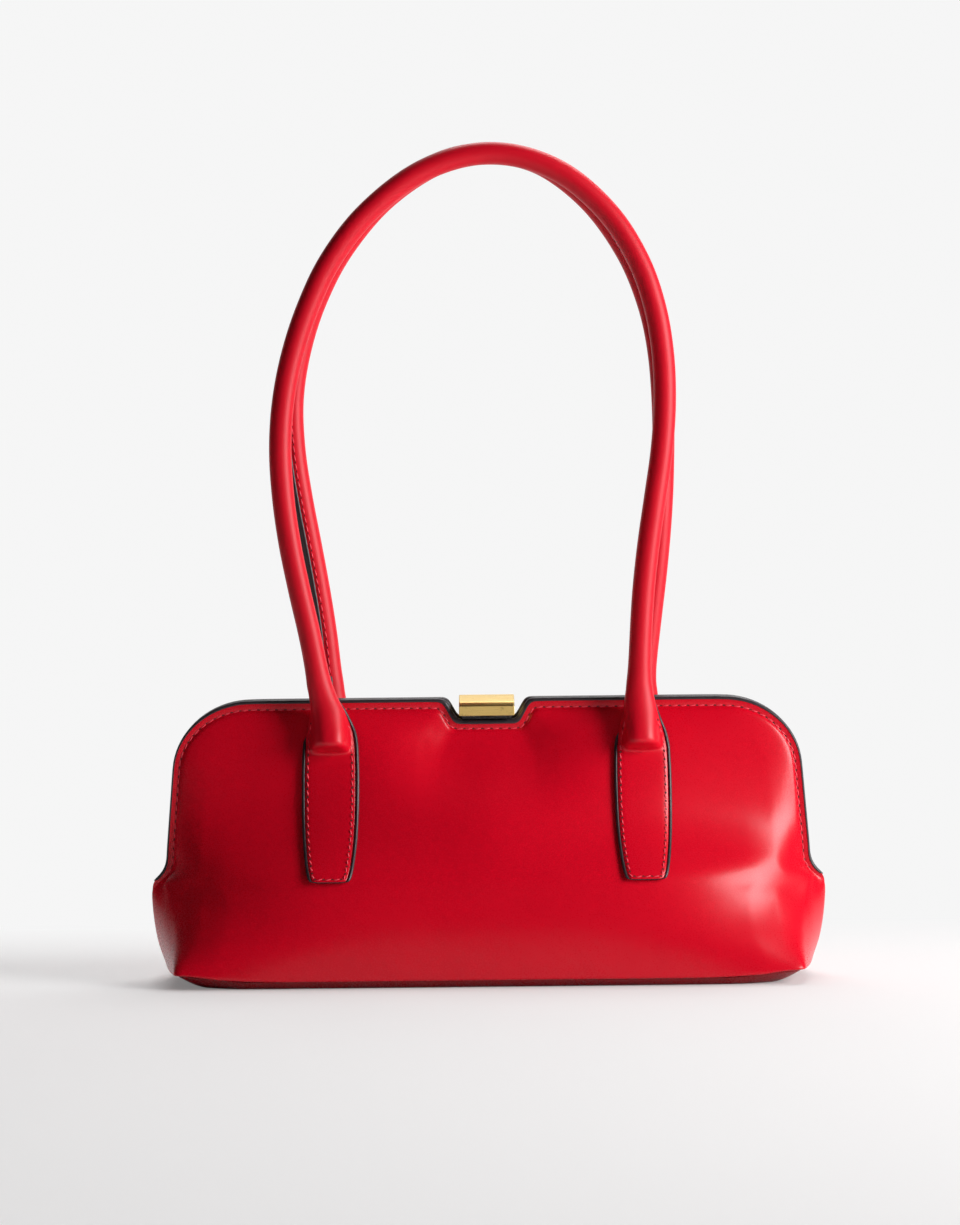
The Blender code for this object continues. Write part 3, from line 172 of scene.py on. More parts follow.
# Tabs and rolls, in millimetres: (height, shift of the middle, width) for each side's tab
TAB_X = {LEFT: -69.2 * MM, RIGHT: 68.3 * MM}
TAB_LOW = ((46.5, 0, 14.6), (46.8, 0, 15.9), (47.6, 0, 17.0), (49.5, 0, 18.3), (52.5, 0, 19.5),
           (56, 0, 20.6), (60, 0, 21.6), (65, 0, 22.6), (70, 0, 23.1), (75, 0, 23.5), (80, 0, 23.7),
           (85, 0, 23.8), (90, 0, 23.8), (94, 0, 23.7), (97.5, 0, 23.5), (99.8, 0, 23.4), (101.2, 0, 23.3),
           (102.2, 0, 23.2), (103.4, 0, 23.0))
TAB_HIGH = {
    LEFT: ((105, 0, 22.8), (107, 0, 22.4), (109.5, 0, 21.8), (112, -0.1, 21.0), (114.5, -0.3, 20.1),
           (117, -0.5, 18.9), (119, -0.8, 17.7), (121, -1.2, 16.2), (123, -1.8, 14.6), (125.5, -2.7, 13.2),
           (128, -3.4, 12.3)),
    RIGHT: ((105, 0, 22.3), (107, 0, 21.7), (109.5, -0.1, 20.8), (112, -0.2, 19.6), (114.5, -0.3, 18.0),
            (117, -0.4, 16.2), (119, -0.6, 14.4), (121, -0.7, 13.2), (123, -0.8, 12.6), (125.5, -0.9, 12.0),
            (128, -0.9, 11.5))}
# The roll over the height in millimetres: its width, and the depth of its outer face
ROLL_WIDTH = ((100, 16.8), (108, 17.0), (112, 16.8), (116, 16.0), (120, 14.8), (124, 13.3), (128, 12.0),
              (133, 10.9), (138, 10.3), (145, 10.0))
ROLL_CREST = ((101.2, 22.3), (103, 23.1), (105.5, 23.3), (108.5, 22.8), (112, 21.5), (116, 20.1),
              (120, 19.0), (124, 18.3), (130, 17.8), (140, 17.4))
TAB_THICKNESS = 2.1 * MM
TAB_CROWN, TAB_EDGE_THINNING, TAB_EDGE_POWER = 0.25 * MM, 0.45, 10
DOME_START, DOME_REACH, DOME_REACH_POWER, DOME_POWER = 100.6 * MM, 4.6 * MM, 2.6, 0.55
ROLL_BACK = 8.0 * MM
# The tabs' necks lean to the handles and close into rolls over these heights in millimetres
NECK_LEAN_START, NECK_LEAN_REACH = 108, 20
CLOSE_START, CLOSE_REACH = 109, 14
TUBE_RADIUS = 5.0 * MM
NECK_HEIGHT, ARCH_RISE = 124.0 * MM, 244.0 * MM
NECK_DEPTH, ARCH_DEPTH = 13.0 * MM, 6.2 * MM
ARCH_RINGS, CURVE_STEPS, FRONT_SIDES, BACK_SIDES, FILLER_SIDES = 150, 12, 20, 15, 12
SPLIT_HEIGHT = 112.4 * MM
# The middle line of each handle, from neck to neck, in millimetres: (x, height)
ARCHES = {
    FRONT: (
        (-73.6, 131.0), (-77.5, 152.3), (-82.2, 173.6), (-86.3, 194.6), (-89.0, 215.5), (-90.0, 236.2),
        (-88.5, 256.9), (-84.3, 277.5), (-77.4, 298.0), (-67.2, 318.9), (-51.4, 339.2), (-29.3, 356.6),
        (-6.3, 365.1), (15.6, 364.8), (37.5, 355.9), (56.7, 338.3), (69.3, 317.8), (76.3, 297.2),
        (79.6, 276.4), (80.2, 255.6), (78.7, 234.4), (75.5, 213.2), (72.2, 192.0), (69.7, 170.9),
        (68.2, 149.7), (67.3, 131.0)),
    REAR: (
        (-69.5, 131.8), (-71.2, 150.6), (-74.2, 171.7), (-77.9, 193.2), (-81.8, 214.8), (-84.8, 236.7),
        (-85.3, 258.9), (-81.6, 281.1), (-74.2, 303.2), (-62.2, 325.5), (-43.2, 347.6), (-18.9, 363.4),
        (4.6, 367.6), (26.8, 362.7), (48.4, 346.1), (64.4, 323.8), (73.8, 301.3), (78.6, 278.7),
        (80.4, 251.7), (80.1, 225.0), (78.9, 203.2), (76.8, 181.7), (74.1, 160.2), (71.4, 138.7),
        (70.6, 131.0))}
# How far the seam is turned round each handle at the left, the crown and the right
SEAM_TURN = {FRONT: (math.radians(-12),) * 3, REAR: (math.radians(36), math.radians(8), math.radians(-36))}
STITCH_TURN = math.radians(36)
CROWN_START, CROWN_REACH, RIGHT_START, RIGHT_REACH = -60 * MM, 120 * MM, 235 * MM, 45 * MM
# Stitches: how they stand on each piece, and the holes in millimetres, which are smaller by a share
# on the handles. Each hole is a dark disc on the leather: painted shade
STITCH_LIFT, STITCH_DIP, JITTER, JITTER_DENSITY = 0.10 * MM, 0.16 * MM, 0.5, 900
HOLE_LENGTH, HOLE_WIDTH, HOLE_RISE, HOLE_SIDES, HANDLE_HOLE = 0.62, 0.50, 0.05 * MM, 8, 0.6
RIM_SINK, FACING_STITCH_DEPTH, HANDLE_STITCH_RISE = 0.16 * MM, 0.22 * MM, 0.02 * MM

# Painted edges, in millimetres: (out or across, up)
TAB_EDGE = ((-0.75, 0.95), (-0.2, 1.02), (0.35, 0.66), (0.55, 0.0), (0.40, -0.70), (-0.1, -0.95),
            (-0.75, -0.9))
SEAM_EDGE = ((-2.0, -0.75), (-1.9, 0.0), (-1.3, 0.5), (-0.35, 0.62), (0.0, 0.42), (0.35, 0.62),
             (1.3, 0.5), (1.9, 0.0), (2.0, -0.75))
SEAM_TAPER, SEAM_TAPER_RINGS = 0.6, 8
# How much the paint strays from even, and how often
RIM_WANDER, TAB_WANDER = (0.10, 160), (0.08, 170)
# Of a tab's two edges one climbs with the roll before it turns behind it: (height, reach, turn)
CLIMBING_EDGE, SHORT_EDGE = (118 * MM, 10 * MM, 0.5), (107 * MM, 12 * MM, 0.96)
EDGE_WEIGHTS = {LEFT: (1.9, 1.2), RIGHT: (1.5, 1.4)}
NECK_EDGE_SHARE, NECK_THIN_START, NECK_THIN_REACH = 0.62, 104 * MM, 16 * MM
# A heavier edge spreads and widens, and a thinner one shrinks; a turn up to 1 is still on the front
EDGE_SPREAD, WIDEST_EDGE, FRONT_TURN, HEAD_ON = 0.45, 1.15, 1.001, 0.3
FOOT_STEPS, FOOT_CORNER_POWER, FOOT_ROUND, FOOT_RISE = 8, 6, 0.9, 0.95 * MM

# Tab stitches: inset from the edge, and the heights between which the rings carry them
TAB_STITCH_INSET, TAB_STITCH_FOOT, TAB_STITCH_TOP = 2.05 * MM, 47.4 * MM, 115.5 * MM
NEARBY_SHARE, TILT_HEIGHT, LOW_TILT, HIGH_TILT, FOOT_STITCHES = 0.96, 60 * MM, 0.05, 0.25, 6
# Boards behind the tabs, and the gap between them and the leather
TAB_BOARD_HALF, TAB_BOARD_FOOT, TAB_BOARD_TOP, TAB_BOARD_STEPS = 7 * MM, 50 * MM, 98 * MM, 8
TAB_BOARD_THICKNESS, TAB_BOARD_GAP = 0.9 * MM, 0.2 * MM


def lerp(low, high, share):
    return low + (high - low) * share


def clamp(value):
    return min(max(value, 0.0), 1.0)


def smooth(value):
    value = clamp(value)
    return value * value * (3 - 2 * value)


def ramp(value, start, reach):
    """Rises smoothly from 0 to 1 over a reach that begins at start."""
    return smooth((value - start) / reach)


def table(pairs, at):
    """Reads a table of (place, value) pairs in millimetres, straight between its lines."""
    places = [p * MM for p, v in pairs]
    return float(np.interp(at, places, [v * MM for p, v in pairs]))


# Sizes and colours that a user can change

class BagSizes(bpy.types.PropertyGroup):
    length: bpy.props.FloatProperty(name="Length", description="Length of the bag at its ends",
                                    default=cad_high.x - cad_low.x + 1.4 * MM, unit="LENGTH")
    depth: bpy.props.FloatProperty(name="Depth", description="Depth of the bag at its base",
                                   default=cad_high.y - cad_low.y, unit="LENGTH")
    rim_height: bpy.props.FloatProperty(name="Rim height", description="Height of the rim above the ground",
                                        default=124.8 * MM, unit="LENGTH")
    leather: bpy.props.FloatProperty(name="Leather", description="Thickness of the wall leather",
                                     default=1.3 * MM, unit="LENGTH")
    stitch_pitch: bpy.props.FloatProperty(name="Stitch pitch", description="Distance from stitch to stitch",
                                          default=4.0 * MM, unit="LENGTH")
    tab_pitch: bpy.props.FloatProperty(name="Tab stitch pitch", default=3.75 * MM, unit="LENGTH",
                                       description="Distance from stitch to stitch on the tabs")
    thread: bpy.props.FloatProperty(name="Thread", description="Thickness of the thread",
                                    default=0.62 * MM, unit="LENGTH")


class BagColours(bpy.types.PropertyGroup):
    leather: bpy.props.FloatVectorProperty(name="Leather", description="Colour of the leather",
                                           default=(0.62, 0.0008, 0.014), subtype="COLOR", min=0, max=1)
    # The thread's light red is partly its own colour and partly painted highlight, for stitches that catch
    # the light
    thread: bpy.props.FloatVectorProperty(name="Thread", description="Colour of the thread",
                                          default=(0.80, 0.050, 0.085), subtype="COLOR", min=0, max=1)
    edge: bpy.props.FloatVectorProperty(name="Edge paint", description="Colour of the painted edges",
                                        default=(0.018, 0.013, 0.016), subtype="COLOR", min=0, max=1)
    lining: bpy.props.FloatVectorProperty(name="Lining", description="Colour of the lining cloth",
                                          default=(0.030, 0.024, 0.026), subtype="COLOR", min=0, max=1)
    gold: bpy.props.FloatVectorProperty(name="Clasp", description="Colour of the clasp's plating",
                                        default=(0.72, 0.50, 0.17), subtype="COLOR", min=0, max=1)
    floor: bpy.props.FloatVectorProperty(name="Floor", description="Colour of the floor",
                                         default=(0.86, 0.84, 0.84), subtype="COLOR", min=0, max=1)
    backdrop: bpy.props.FloatVectorProperty(name="Backdrop", description="Colour of the backdrop",
                                            default=(0.92, 0.92, 0.92), subtype="COLOR", min=0, max=1)


class BagLight(bpy.types.PropertyGroup):
    key: bpy.props.FloatProperty(name="Key light", description="Power of the light at the right",
                                 default=23.0, unit="POWER")
    fill: bpy.props.FloatProperty(name="Fill light", description="Power of the light above",
                                  default=11.0, unit="POWER")
    world: bpy.props.FloatProperty(name="Surroundings", description="Strength of the light all round",
                                   default=0.03)
    distance: bpy.props.FloatProperty(name="Camera distance", description="From the middle of the bag",
                                      default=1.5, unit="LENGTH")


def sizes():
    return bpy.context.scene.bag_sizes


def colours():
    return bpy.context.scene.bag_colours


# Shader maths written as expressions

class Value:
    """A socket that can be added, multiplied and so on; each step adds a Math node."""

    def __init__(self, shading, socket):
        self.shading = shading
        self.socket = socket

    def math(self, operation, *others):
        return self.shading.maths(operation, self, *others)

    def __add__(self, other):
        return self.math("ADD", other)

    __radd__ = __add__

    def __sub__(self, other):
        return self.math("SUBTRACT", other)

    def __rsub__(self, other):
        return self.shading.maths("SUBTRACT", other, self)

    def __mul__(self, other):
        return self.math("MULTIPLY", other)

    __rmul__ = __mul__

    def limited(self):
        return self.math("MAXIMUM", 0.0).math("MINIMUM", 1.0)


class Shading:
    """A material, or the world, whose nodes are being put together."""

    def __init__(self, tree):
        self.tree = tree
        tree.nodes.clear()

    def node(self, kind, settings=(), inputs=(), output=0):
        """Adds a node, with its settings first, and gives one of its outputs."""
        node = self.tree.nodes.new(kind)
        for key, value in dict(settings).items():
            setattr(node, key, value)
        for key, value in dict(inputs).items():
            if isinstance(value, Value):
                self.tree.links.new(value.socket, node.inputs[key])
            else:
                node.inputs[key].default_value = value
        return Value(self, node.outputs[output]) if node.outputs else None

    def beside(self, value, *outputs):
        """Further outputs of the node that a value comes from."""
        return [Value(self, value.socket.node.outputs[output]) for output in outputs]

    def maths(self, operation, *values):
        return self.node("ShaderNodeMath", {"operation": operation}, dict(enumerate(values)))

    def place(self, stretch=(1, 1, 1)):
        coordinates = self.node("ShaderNodeTexCoord", output="Object")
        return self.node("ShaderNodeMapping", {}, {"Vector": coordinates, "Scale": stretch})

    def axes(self):
        """X, Y and Z of the place on the piece."""
        x = self.node("ShaderNodeSeparateXYZ", {}, {0: self.place()})
        return [x, *self.beside(x, 1, 2)]

    def grain(self, size, detail=2.0, stretch=(1, 1, 1)):
        """Noise whose features are about so many metres across, from 0 to 1."""
        return self.node("ShaderNodeTexNoise", {}, {"Vector": self.place(stretch), "Scale": 1 / size,
                                                    "Detail": detail})

    def mix(self, share, first, second):
        """Mixes two colours by a share."""
        first, second = [c if isinstance(c, Value) else (*c, 1.0) for c in (first, second)]
        return self.node("ShaderNodeMix", {"data_type": "RGBA"}, {0: share, 6: first, 7: second}, output=2)

    def tones(self, share, colour, low, high):
        """Mixes a darker and a lighter tone of one colour."""
        return self.mix(share, scaled(colour, low), scaled(colour, high))

    def bump(self, height, distance, strength=1.0, under=None):
        inputs = {"Height": height, "Distance": distance, "Strength": strength}
        if under:
            inputs["Normal"] = under
        return self.node("ShaderNodeBump", {}, inputs)

    def surface(self, **inputs):
        names = {key: key.replace("_", " ").title().replace("Ior", "IOR") for key in inputs}
        shader = self.node("ShaderNodeBsdfPrincipled", {}, {names[key]: inputs[key] for key in inputs})
        self.node("ShaderNodeOutputMaterial", {}, {"Surface": shader})

    def blend_shaders(self, share, first, second):
        return self.node("ShaderNodeMixShader", {}, {0: share, 1: first, 2: second})


def scaled(colour, factor):
    return tuple(min(c * factor, 1.0) for c in colour)


def finish(name):
    """Turns a function that puts nodes together into one that gives the material, made only once."""
    def wrap(build):
        def get(name=name, **settings):
            material = bpy.data.materials.get(name)
            if not material:
                material = bpy.data.materials.new(name)
                material.use_nodes = True
                build(Shading(material.node_tree), **settings)
            return material
        return get
    return wrap


LEATHER_ROUGHNESS, ROLLED_ROUGHNESS = 0.22, 0.18
ROLLED_START, ROLLED_STEEPNESS = 96 * MM, 50


@finish("smooth red leather")
def leather_material(s, strength=1.0, rolled=False):
    """Glossy leather with a fine grain; when rolled, it turns softer above the walls."""
    broad = s.grain(0.045, detail=3.0)
    fine = s.grain(0.00055)
    pores = s.grain(0.0016, detail=3.0)
    # A strength below 1 darkens the leather's colour, as painted shade on the base
    tone = s.tones((broad * 0.7 + pores * 0.25).limited(), scaled(colours().leather, strength), 0.90, 1.06)
    soft = s.bump(broad, distance=0.0012, strength=0.16)
    pebble = s.bump(pores, distance=0.00012, strength=0.16, under=soft)
    roughness = LEATHER_ROUGHNESS
    if rolled:
        height = s.axes()[2]
        roughness = roughness + ROLLED_ROUGHNESS * ((height - ROLLED_START) * ROLLED_STEEPNESS).limited()
    s.surface(base_color=tone, roughness=roughness + 0.05 * broad + 0.06 * fine, specular_ior_level=0.31,
              normal=s.bump(fine, distance=0.00005, strength=0.18, under=pebble))


@finish("black edge paint")
def edge_material(s):
    uneven = s.grain(0.0035)
    s.surface(base_color=s.tones(uneven, colours().edge, 1.0, 1.8), roughness=0.30 + 0.18 * uneven,
              specular_ior_level=0.5, normal=s.bump(uneven, distance=0.00025, strength=0.5))


@finish("red thread")
def thread_material(s):
    # The thread's light colour is partly painted highlight
    twist = s.grain(0.0004, detail=1.0)
    s.surface(base_color=s.tones(twist, colours().thread, 0.7, 1.25), roughness=0.38 + 0.2 * twist,
              normal=s.bump(twist, distance=0.0001, strength=0.5))


@finish("needle holes")
def hole_shade_material(s):
    # Dark discs at the holes: painted shade, as no hole is cut into the leather
    s.surface(base_color=s.tones(s.grain(0.001), colours().leather, 0.10, 0.22), roughness=0.8)


RIB_DENSITY, CROSS_DENSITY = 7200, 3600


@finish("twill lining")
def lining_material(s):
    """Twill, with fine slanting ribs and a coarser weave across them."""
    x, y, z = s.axes()
    ribs = ((x + z + y) * RIB_DENSITY).math("SINE") * 0.5 + 0.5
    cross = ((x - z) * CROSS_DENSITY).math("SINE") * 0.5 + 0.5
    weave = ribs * 0.7 + cross * 0.3
    s.surface(base_color=s.tones(weave, colours().lining, 0.7, 1.6), roughness=0.75 + 0.15 * weave,
              normal=s.bump(weave, distance=0.0001, strength=0.6))


@finish("gold plate")
def gold_material(s):
    """Plating brushed along the bar, with a few worn spots."""
    brushed = s.grain(0.0007, stretch=(0.04, 1, 1))
    spots = ((s.grain(0.0022, detail=3.0) - 0.62) * 7.0).limited()
    plain = s.tones(brushed, colours().gold, 0.93, 1.05)
    s.surface(base_color=s.mix(spots * 0.55, plain, scaled(colours().gold, 0.45)), metallic=1.0,
              roughness=0.24 + 0.10 * brushed + 0.20 * spots,
              normal=s.bump(brushed, distance=0.00002, strength=0.3))


@finish("frame steel")
def steel_material(s):
    brushed = s.grain(0.0006, stretch=(0.06, 1, 1))
    s.surface(base_color=s.mix(brushed, (0.30, 0.30, 0.31), (0.44, 0.44, 0.45)), metallic=1.0,
              roughness=0.28 + 0.15 * brushed, normal=s.bump(brushed, distance=0.00003, strength=0.3))


@finish("black enamel")
def enamel_material(s):
    peel = s.grain(0.0012)
    s.surface(base_color=s.mix(peel, (0.012, 0.011, 0.012), (0.024, 0.022, 0.024)),
              roughness=0.22 + 0.1 * peel, normal=s.bump(peel, distance=0.00003, strength=0.4))


@finish("pressed board")
def board_material(s):
    fibre = s.grain(0.0012, detail=4.0, stretch=(0.4, 1, 1))
    s.surface(base_color=s.mix(fibre, (0.24, 0.18, 0.12), (0.40, 0.32, 0.23)),
              roughness=0.8 + 0.1 * fibre, normal=s.bump(fibre, distance=0.0002, strength=0.5))


# Making and finishing meshes

def deselect():
    for obj in bpy.context.selected_objects:
        obj.select_set(False)


def activate(obj):
    deselect()
    obj.select_set(True)
    bpy.context.view_layer.objects.active = obj


def apply_modifiers(obj):
    activate(obj)
    for modifier in list(obj.modifiers):
        bpy.ops.object.modifier_apply(modifier=modifier.name)


def shade_smooth(obj, angle=60):
    """Smooth shading over all edges but those sharper than the angle."""
    activate(obj)
    bpy.ops.object.shade_smooth_by_angle(angle=math.radians(angle))


def linked(name, data):
    """A new object in the scene that carries the data."""
    obj = bpy.data.objects.new(name, data)
    bpy.context.scene.collection.objects.link(obj)
    return obj


def new_piece(name, bm, material, levels=0, angle=60, thickness=0.0, facing=None):
    """A finished piece from a mesh: rounded by subdivision, walled, and shaded smooth.

    An open sheet is first turned to the side that it faces, and its wall then lies behind it.
    """
    bmesh.ops.remove_doubles(bm, verts=bm.verts, dist=1e-6)
    bmesh.ops.recalc_face_normals(bm, faces=bm.faces)
    if facing:
        bm.normal_update()
        if sum(face.normal.dot(Vector(facing)) * face.calc_area() for face in bm.faces) < 0:
            bmesh.ops.reverse_faces(bm, faces=bm.faces)
    mesh = bpy.data.meshes.new(name)
    bm.to_mesh(mesh)
    bm.free()
    mesh.materials.append(material)
    obj = linked(name, mesh)
    if levels:
        rounding = obj.modifiers.new("rounding", "SUBSURF")
        rounding.levels = rounding.render_levels = levels
    if thickness:
        wall = obj.modifiers.new("wall", "SOLIDIFY")
        wall.thickness = thickness
        wall.offset = -1
    apply_modifiers(obj)
    shade_smooth(obj, angle)
    return obj


def strips(bm, rows, closed=False):
    """Fills quads between each row of vertices and the next."""
    for row, after in zip(rows, rows[1:]):
        count = len(row)
        for i in range(count if closed else count - 1):
            j = (i + 1) % count
            bm.faces.new((row[i], row[j], after[j], after[i]))


def vertex_rows(bm, rows):
    return [[bm.verts.new(point) for point in row] for row in rows]


def loft(rings):
    """A closed form through the rings, with a face on its first and its last."""
    bm = bmesh.new()
    rows = vertex_rows(bm, rings)
    strips(bm, rows, closed=True)
    bm.faces.new(rows[0])
    bm.faces.new(rows[-1])
    return bm


def corner_name(half, side):
    return HALVES[half] + "_" + SIDES[side]


def mirrored(row):
    """The same points on the other side of the bag, from its end inwards."""
    return [(-x, y, z) for x, y, z in reversed(row)]


def on_half(row, half):
    """Points given by their depth, placed on the front or the rear half."""
    return [(x, half * depth, z) for x, depth, z in row]


def square_to(line, direction):
    """What is left of a direction when the part along a line is taken out of it."""
    return direction - line * direction.dot(line)


def lengths_along(points):
    """How far each point is from the first, along the line."""
    lengths = [0.0]
    for a, b in zip(points, points[1:]):
        lengths.append(lengths[-1] + (b - a).length)
    return lengths


def bend_wall(obj, half):
    """Fixes a wall's piece to the base at its foot and to the frame half further up."""
    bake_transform(obj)


def bend_handle(obj, half):
    """Fixes a handle's piece to the frame half below its neck and to the folding handle above it."""
    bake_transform(obj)


# The rim's outline, from the tip at the hinge up the right side to the middle of the notch

def side_x(z, inset):
    half = sizes().length / 2
    share = clamp((z - FLARE_HEIGHT) / (SHOULDER_HEIGHT - FLARE_HEIGHT))
    x = half - lerp(SIDE_SETBACK, SHOULDER_SETBACK, share) - inset
    if z < FLARE_HEIGHT:
        x += TIP_FLARE * ((FLARE_HEIGHT - z) / (FLARE_HEIGHT - TIP_HEIGHT)) ** 3
    return x


def rounded(before, corner, after, radius, steps):
    first = corner + (before - corner).normalized() * radius
    last = corner + (after - corner).normalized() * radius
    return [first.lerp(corner, i / steps).lerp(corner.lerp(last, i / steps), i / steps)
            for i in range(steps + 1)]


def outline(inset):
    """(x, z) points and the share of tip, side, top and notch that each belongs to."""
    rim = sizes().rim_height
    points, kinds = [], []
    for i in range(FLARE_STEPS):
        z = lerp(TIP_HEIGHT, FLARE_HEIGHT, i / FLARE_STEPS)
        points.append(Vector((side_x(z, inset), z)))
        tip = (1 - i / FLARE_STEPS) ** 2
        kinds.append((tip, 1 - tip, 0, 0))
    for i in range(SIDE_STEPS + 1):
        z = lerp(FLARE_HEIGHT, SHOULDER_HEIGHT, i / SIDE_STEPS)
        points.append(Vector((side_x(z, inset), z)))
        kinds.append((0, 1, 0, 0))
    centre = Vector((side_x(SHOULDER_HEIGHT, 0) - CORNER_WIDTH, rim - CORNER_HEIGHT))
    for i in range(1, CORNER_STEPS + 1):
        turn = math.pi / 2 * i / CORNER_STEPS
        points.append(centre + Vector(((CORNER_WIDTH - inset) * math.cos(turn),
                                       (CORNER_HEIGHT - inset) * math.sin(turn))))
        share = smooth(i / CORNER_STEPS)
        kinds.append((0, 1 - share, share, 0))
    widen = inset * math.tan(math.atan2(NOTCH_DEPTH, NOTCH_FLARE) / 2)
    edge = points[-1]
    lip = Vector((NOTCH_HALF + NOTCH_FLARE + widen, rim - inset))
    foot = Vector((NOTCH_HALF + widen, rim - inset - NOTCH_DEPTH))
    middle = Vector((0, foot.y))
    points += [edge.lerp(lip, share) for share in RIM_TOP_SHARES]
    kinds += [(0, 0, 1, 0)] * len(RIM_TOP_SHARES)
    for i, point in enumerate(rounded(edge, lip, foot, NOTCH_ROUND, NOTCH_STEPS)):
        points.append(point)
        kinds.append((0, 0, 1 - i / NOTCH_STEPS, i / NOTCH_STEPS))
    later = [lip.lerp(foot, 0.5)] + rounded(lip, foot, middle, NOTCH_ROUND, NOTCH_STEPS)
    later += [foot.lerp(middle, share) for share in NOTCH_FLOOR_SHARES] + [middle]
    points += later
    kinds += [(0, 0, 0, 1)] * len(later)
    return points, kinds


def rim_line(insets, plus=0.0):
    """Points at an inset that changes from the tip to the side, the top and the notch."""
    kinds = outline(0)[1]
    line = []
    for i, kind in enumerate(kinds):
        inset = plus + sum(a * b for a, b in zip(insets, kind))
        line.append(outline(inset)[0][i])
    return line


def even_line(inset):
    """The whole rim at one inset."""
    return whole(rim_line((inset,) * 4))


def whole(line):
    """The line and its mirror image, from the right tip to the left one."""
    return line + [Vector((-p.x, p.y)) for p in reversed(line[:-1])]


# Depth of the leather in front of the middle of the bag

def edge_x(z, inset):
    z = max(z, TIP_HEIGHT)
    if z <= SHOULDER_HEIGHT:
        return side_x(z, inset)
    lift = clamp((z - SHOULDER_HEIGHT) / (CORNER_HEIGHT - inset))
    across = (CORNER_WIDTH - inset) * math.sqrt(1 - lift ** 2)
    return side_x(SHOULDER_HEIGHT, 0) - CORNER_WIDTH + across


def fall(out, shape):
    share, power = shape
    return share * out ** power


def swell(x, z):
    """Share of the full depth that the upper face has at a place."""
    rim = sizes().rim_height
    rise = clamp((z - TIP_HEIGHT) / (rim - TOP_MARGIN - TIP_HEIGHT))
    out = clamp(abs(x) / edge_x(max(z, FLARE_HEIGHT), SIDE_MARGIN))
    side = lerp(fall(out, LOW_SIDE_FALL), fall(out, HIGH_SIDE_FALL), ramp(z, FIRM_START, FIRM_REACH))
    below = clamp((rim - NOTCH_DEPTH - NOTCH_MARGIN - z) / DRAWN_HEIGHT)
    drawn = lerp(math.sin(below * math.pi / 2), 1.0, ramp(abs(x), NOTCH_HALF, DRAWN_WIDTH))
    return (1 - side) * (1 - fall(rise, TOP_FALL)) * drawn


def step_share(past):
    """The padded step just inside the stitches, from 0 to 1."""
    t = clamp(past / STEP_WIDTH)
    return math.sqrt(1 - (1 - t) ** 2)


def wall_sizes(z):
    """Depth at the middle, place of the ridge and half length of the lower walls at a height."""
    share = clamp((z - BASE_HEIGHT) / (TIP_HEIGHT - BASE_HEIGHT))
    half, depth = sizes().length / 2, sizes().depth / 2
    middle = depth - WALL_LEAN * share ** LEAN_POWER
    ridge_x = half - lerp(RIDGE_BASE_SETBACK, RIDGE_TOP_SETBACK, share)
    ridge_y = lerp(RIDGE_BASE_DEPTH, RIDGE_TOP_DEPTH, share)
    end_x = half - BASE_END_TUCK * (1 - share) ** END_TUCK_POWER
    return middle, ridge_x, ridge_y, end_x


def seam_rise(x, z):
    """How much the foot of the wall lifts towards the corners of the base."""
    return CORNER_LIFT * ramp(abs(x), CORNER_START, CORNER_REACH) * (1 - ramp(z, WALL_FOOT, LIFT_FADE))


def low_depth(x, z):
    middle, ridge_x, ridge_y = wall_sizes(z)[:3]
    power = lerp(BASE_SQUARENESS, WALL_SQUARENESS, ramp(z, BASE_HEIGHT, SQUARE_REACH))
    return middle - (middle - ridge_y) * min(abs(x) / ridge_x, 1.0) ** power


def depth_at(x, z, past=1.0):
    """Depth of the wall's face; past is how far inside the stitches the place is."""
    rim = RIM_DEPTH + STEP_DEPTH
    high = rim + (FACE_DEPTH - rim) * swell(x, z)
    face = lerp(low_depth(x, z), high, ramp(z, MERGE_START, MERGE_REACH))
    share = clamp(past / PUFF_RAMP)
    return RIM_DEPTH + STEP_DEPTH * step_share(past) + max(face - rim, 0.0) * share * (2 - share)


def tab_seat(x, z):
    """Depth of the face that a tab lies on."""
    return depth_at(x, z, sizes().rim_height - STITCH_INSET[2] - STEP_START * MM - z)


# Leather walls

def plan_columns(z, inset):
    """End seam, end wall and ridge of the right-hand side at a height, as (x, depth) points."""
    ridge_x, ridge_y, end_x = [size - inset for size in wall_sizes(z)[1:]]
    ridge, end = Vector((ridge_x, ridge_y)), Vector((end_x, 0.0))
    leg = (end - ridge).length
    reach = lerp(BASE_RIDGE_ROUND, WALL_RIDGE_ROUND, ramp(z, BASE_HEIGHT, RIDGE_ROUND_REACH))
    reach = min(reach, RIDGE_LEG_SHARE * leg)
    start_x = ridge_x - reach
    start = Vector((start_x, low_depth(start_x, z) - inset))
    last = ridge.lerp(end, reach / leg)
    puff = Vector((1.0, 0.0)) * min(END_PUFF_SHARE * leg, END_PUFF_MOST)
    columns = [end + Vector(END_SEAM_TUCK), end + Vector((0.0, min(END_SEAM_HALF, END_SEAM_SHARE * leg)))]
    columns += [end.lerp(last, share) + puff for share in END_WALL_SHARES]
    columns += [last.lerp(ridge, t).lerp(ridge.lerp(start, t), t) for t in RIDGE_ROUND_SHARES]
    return columns


def rim_lines():
    """Lines of the wall that follow the rim, from under the bead to well inside the stitches."""
    lines = [[(p.x, RIM_DEPTH, p.y) for p in rim_line([BEAD_COVER * width for width in BEAD_WIDTH])]]
    for inwards, rise in EDGE_LINES:
        line = []
        for p in rim_line(STITCH_INSET, inwards * MM):
            if rise is None:
                depth = depth_at(p.x, p.y, (inwards - STEP_START) * MM)
            else:
                depth = RIM_DEPTH + rise * MM
            line.append((p.x, depth, p.y))
        lines.append(line)
    return lines


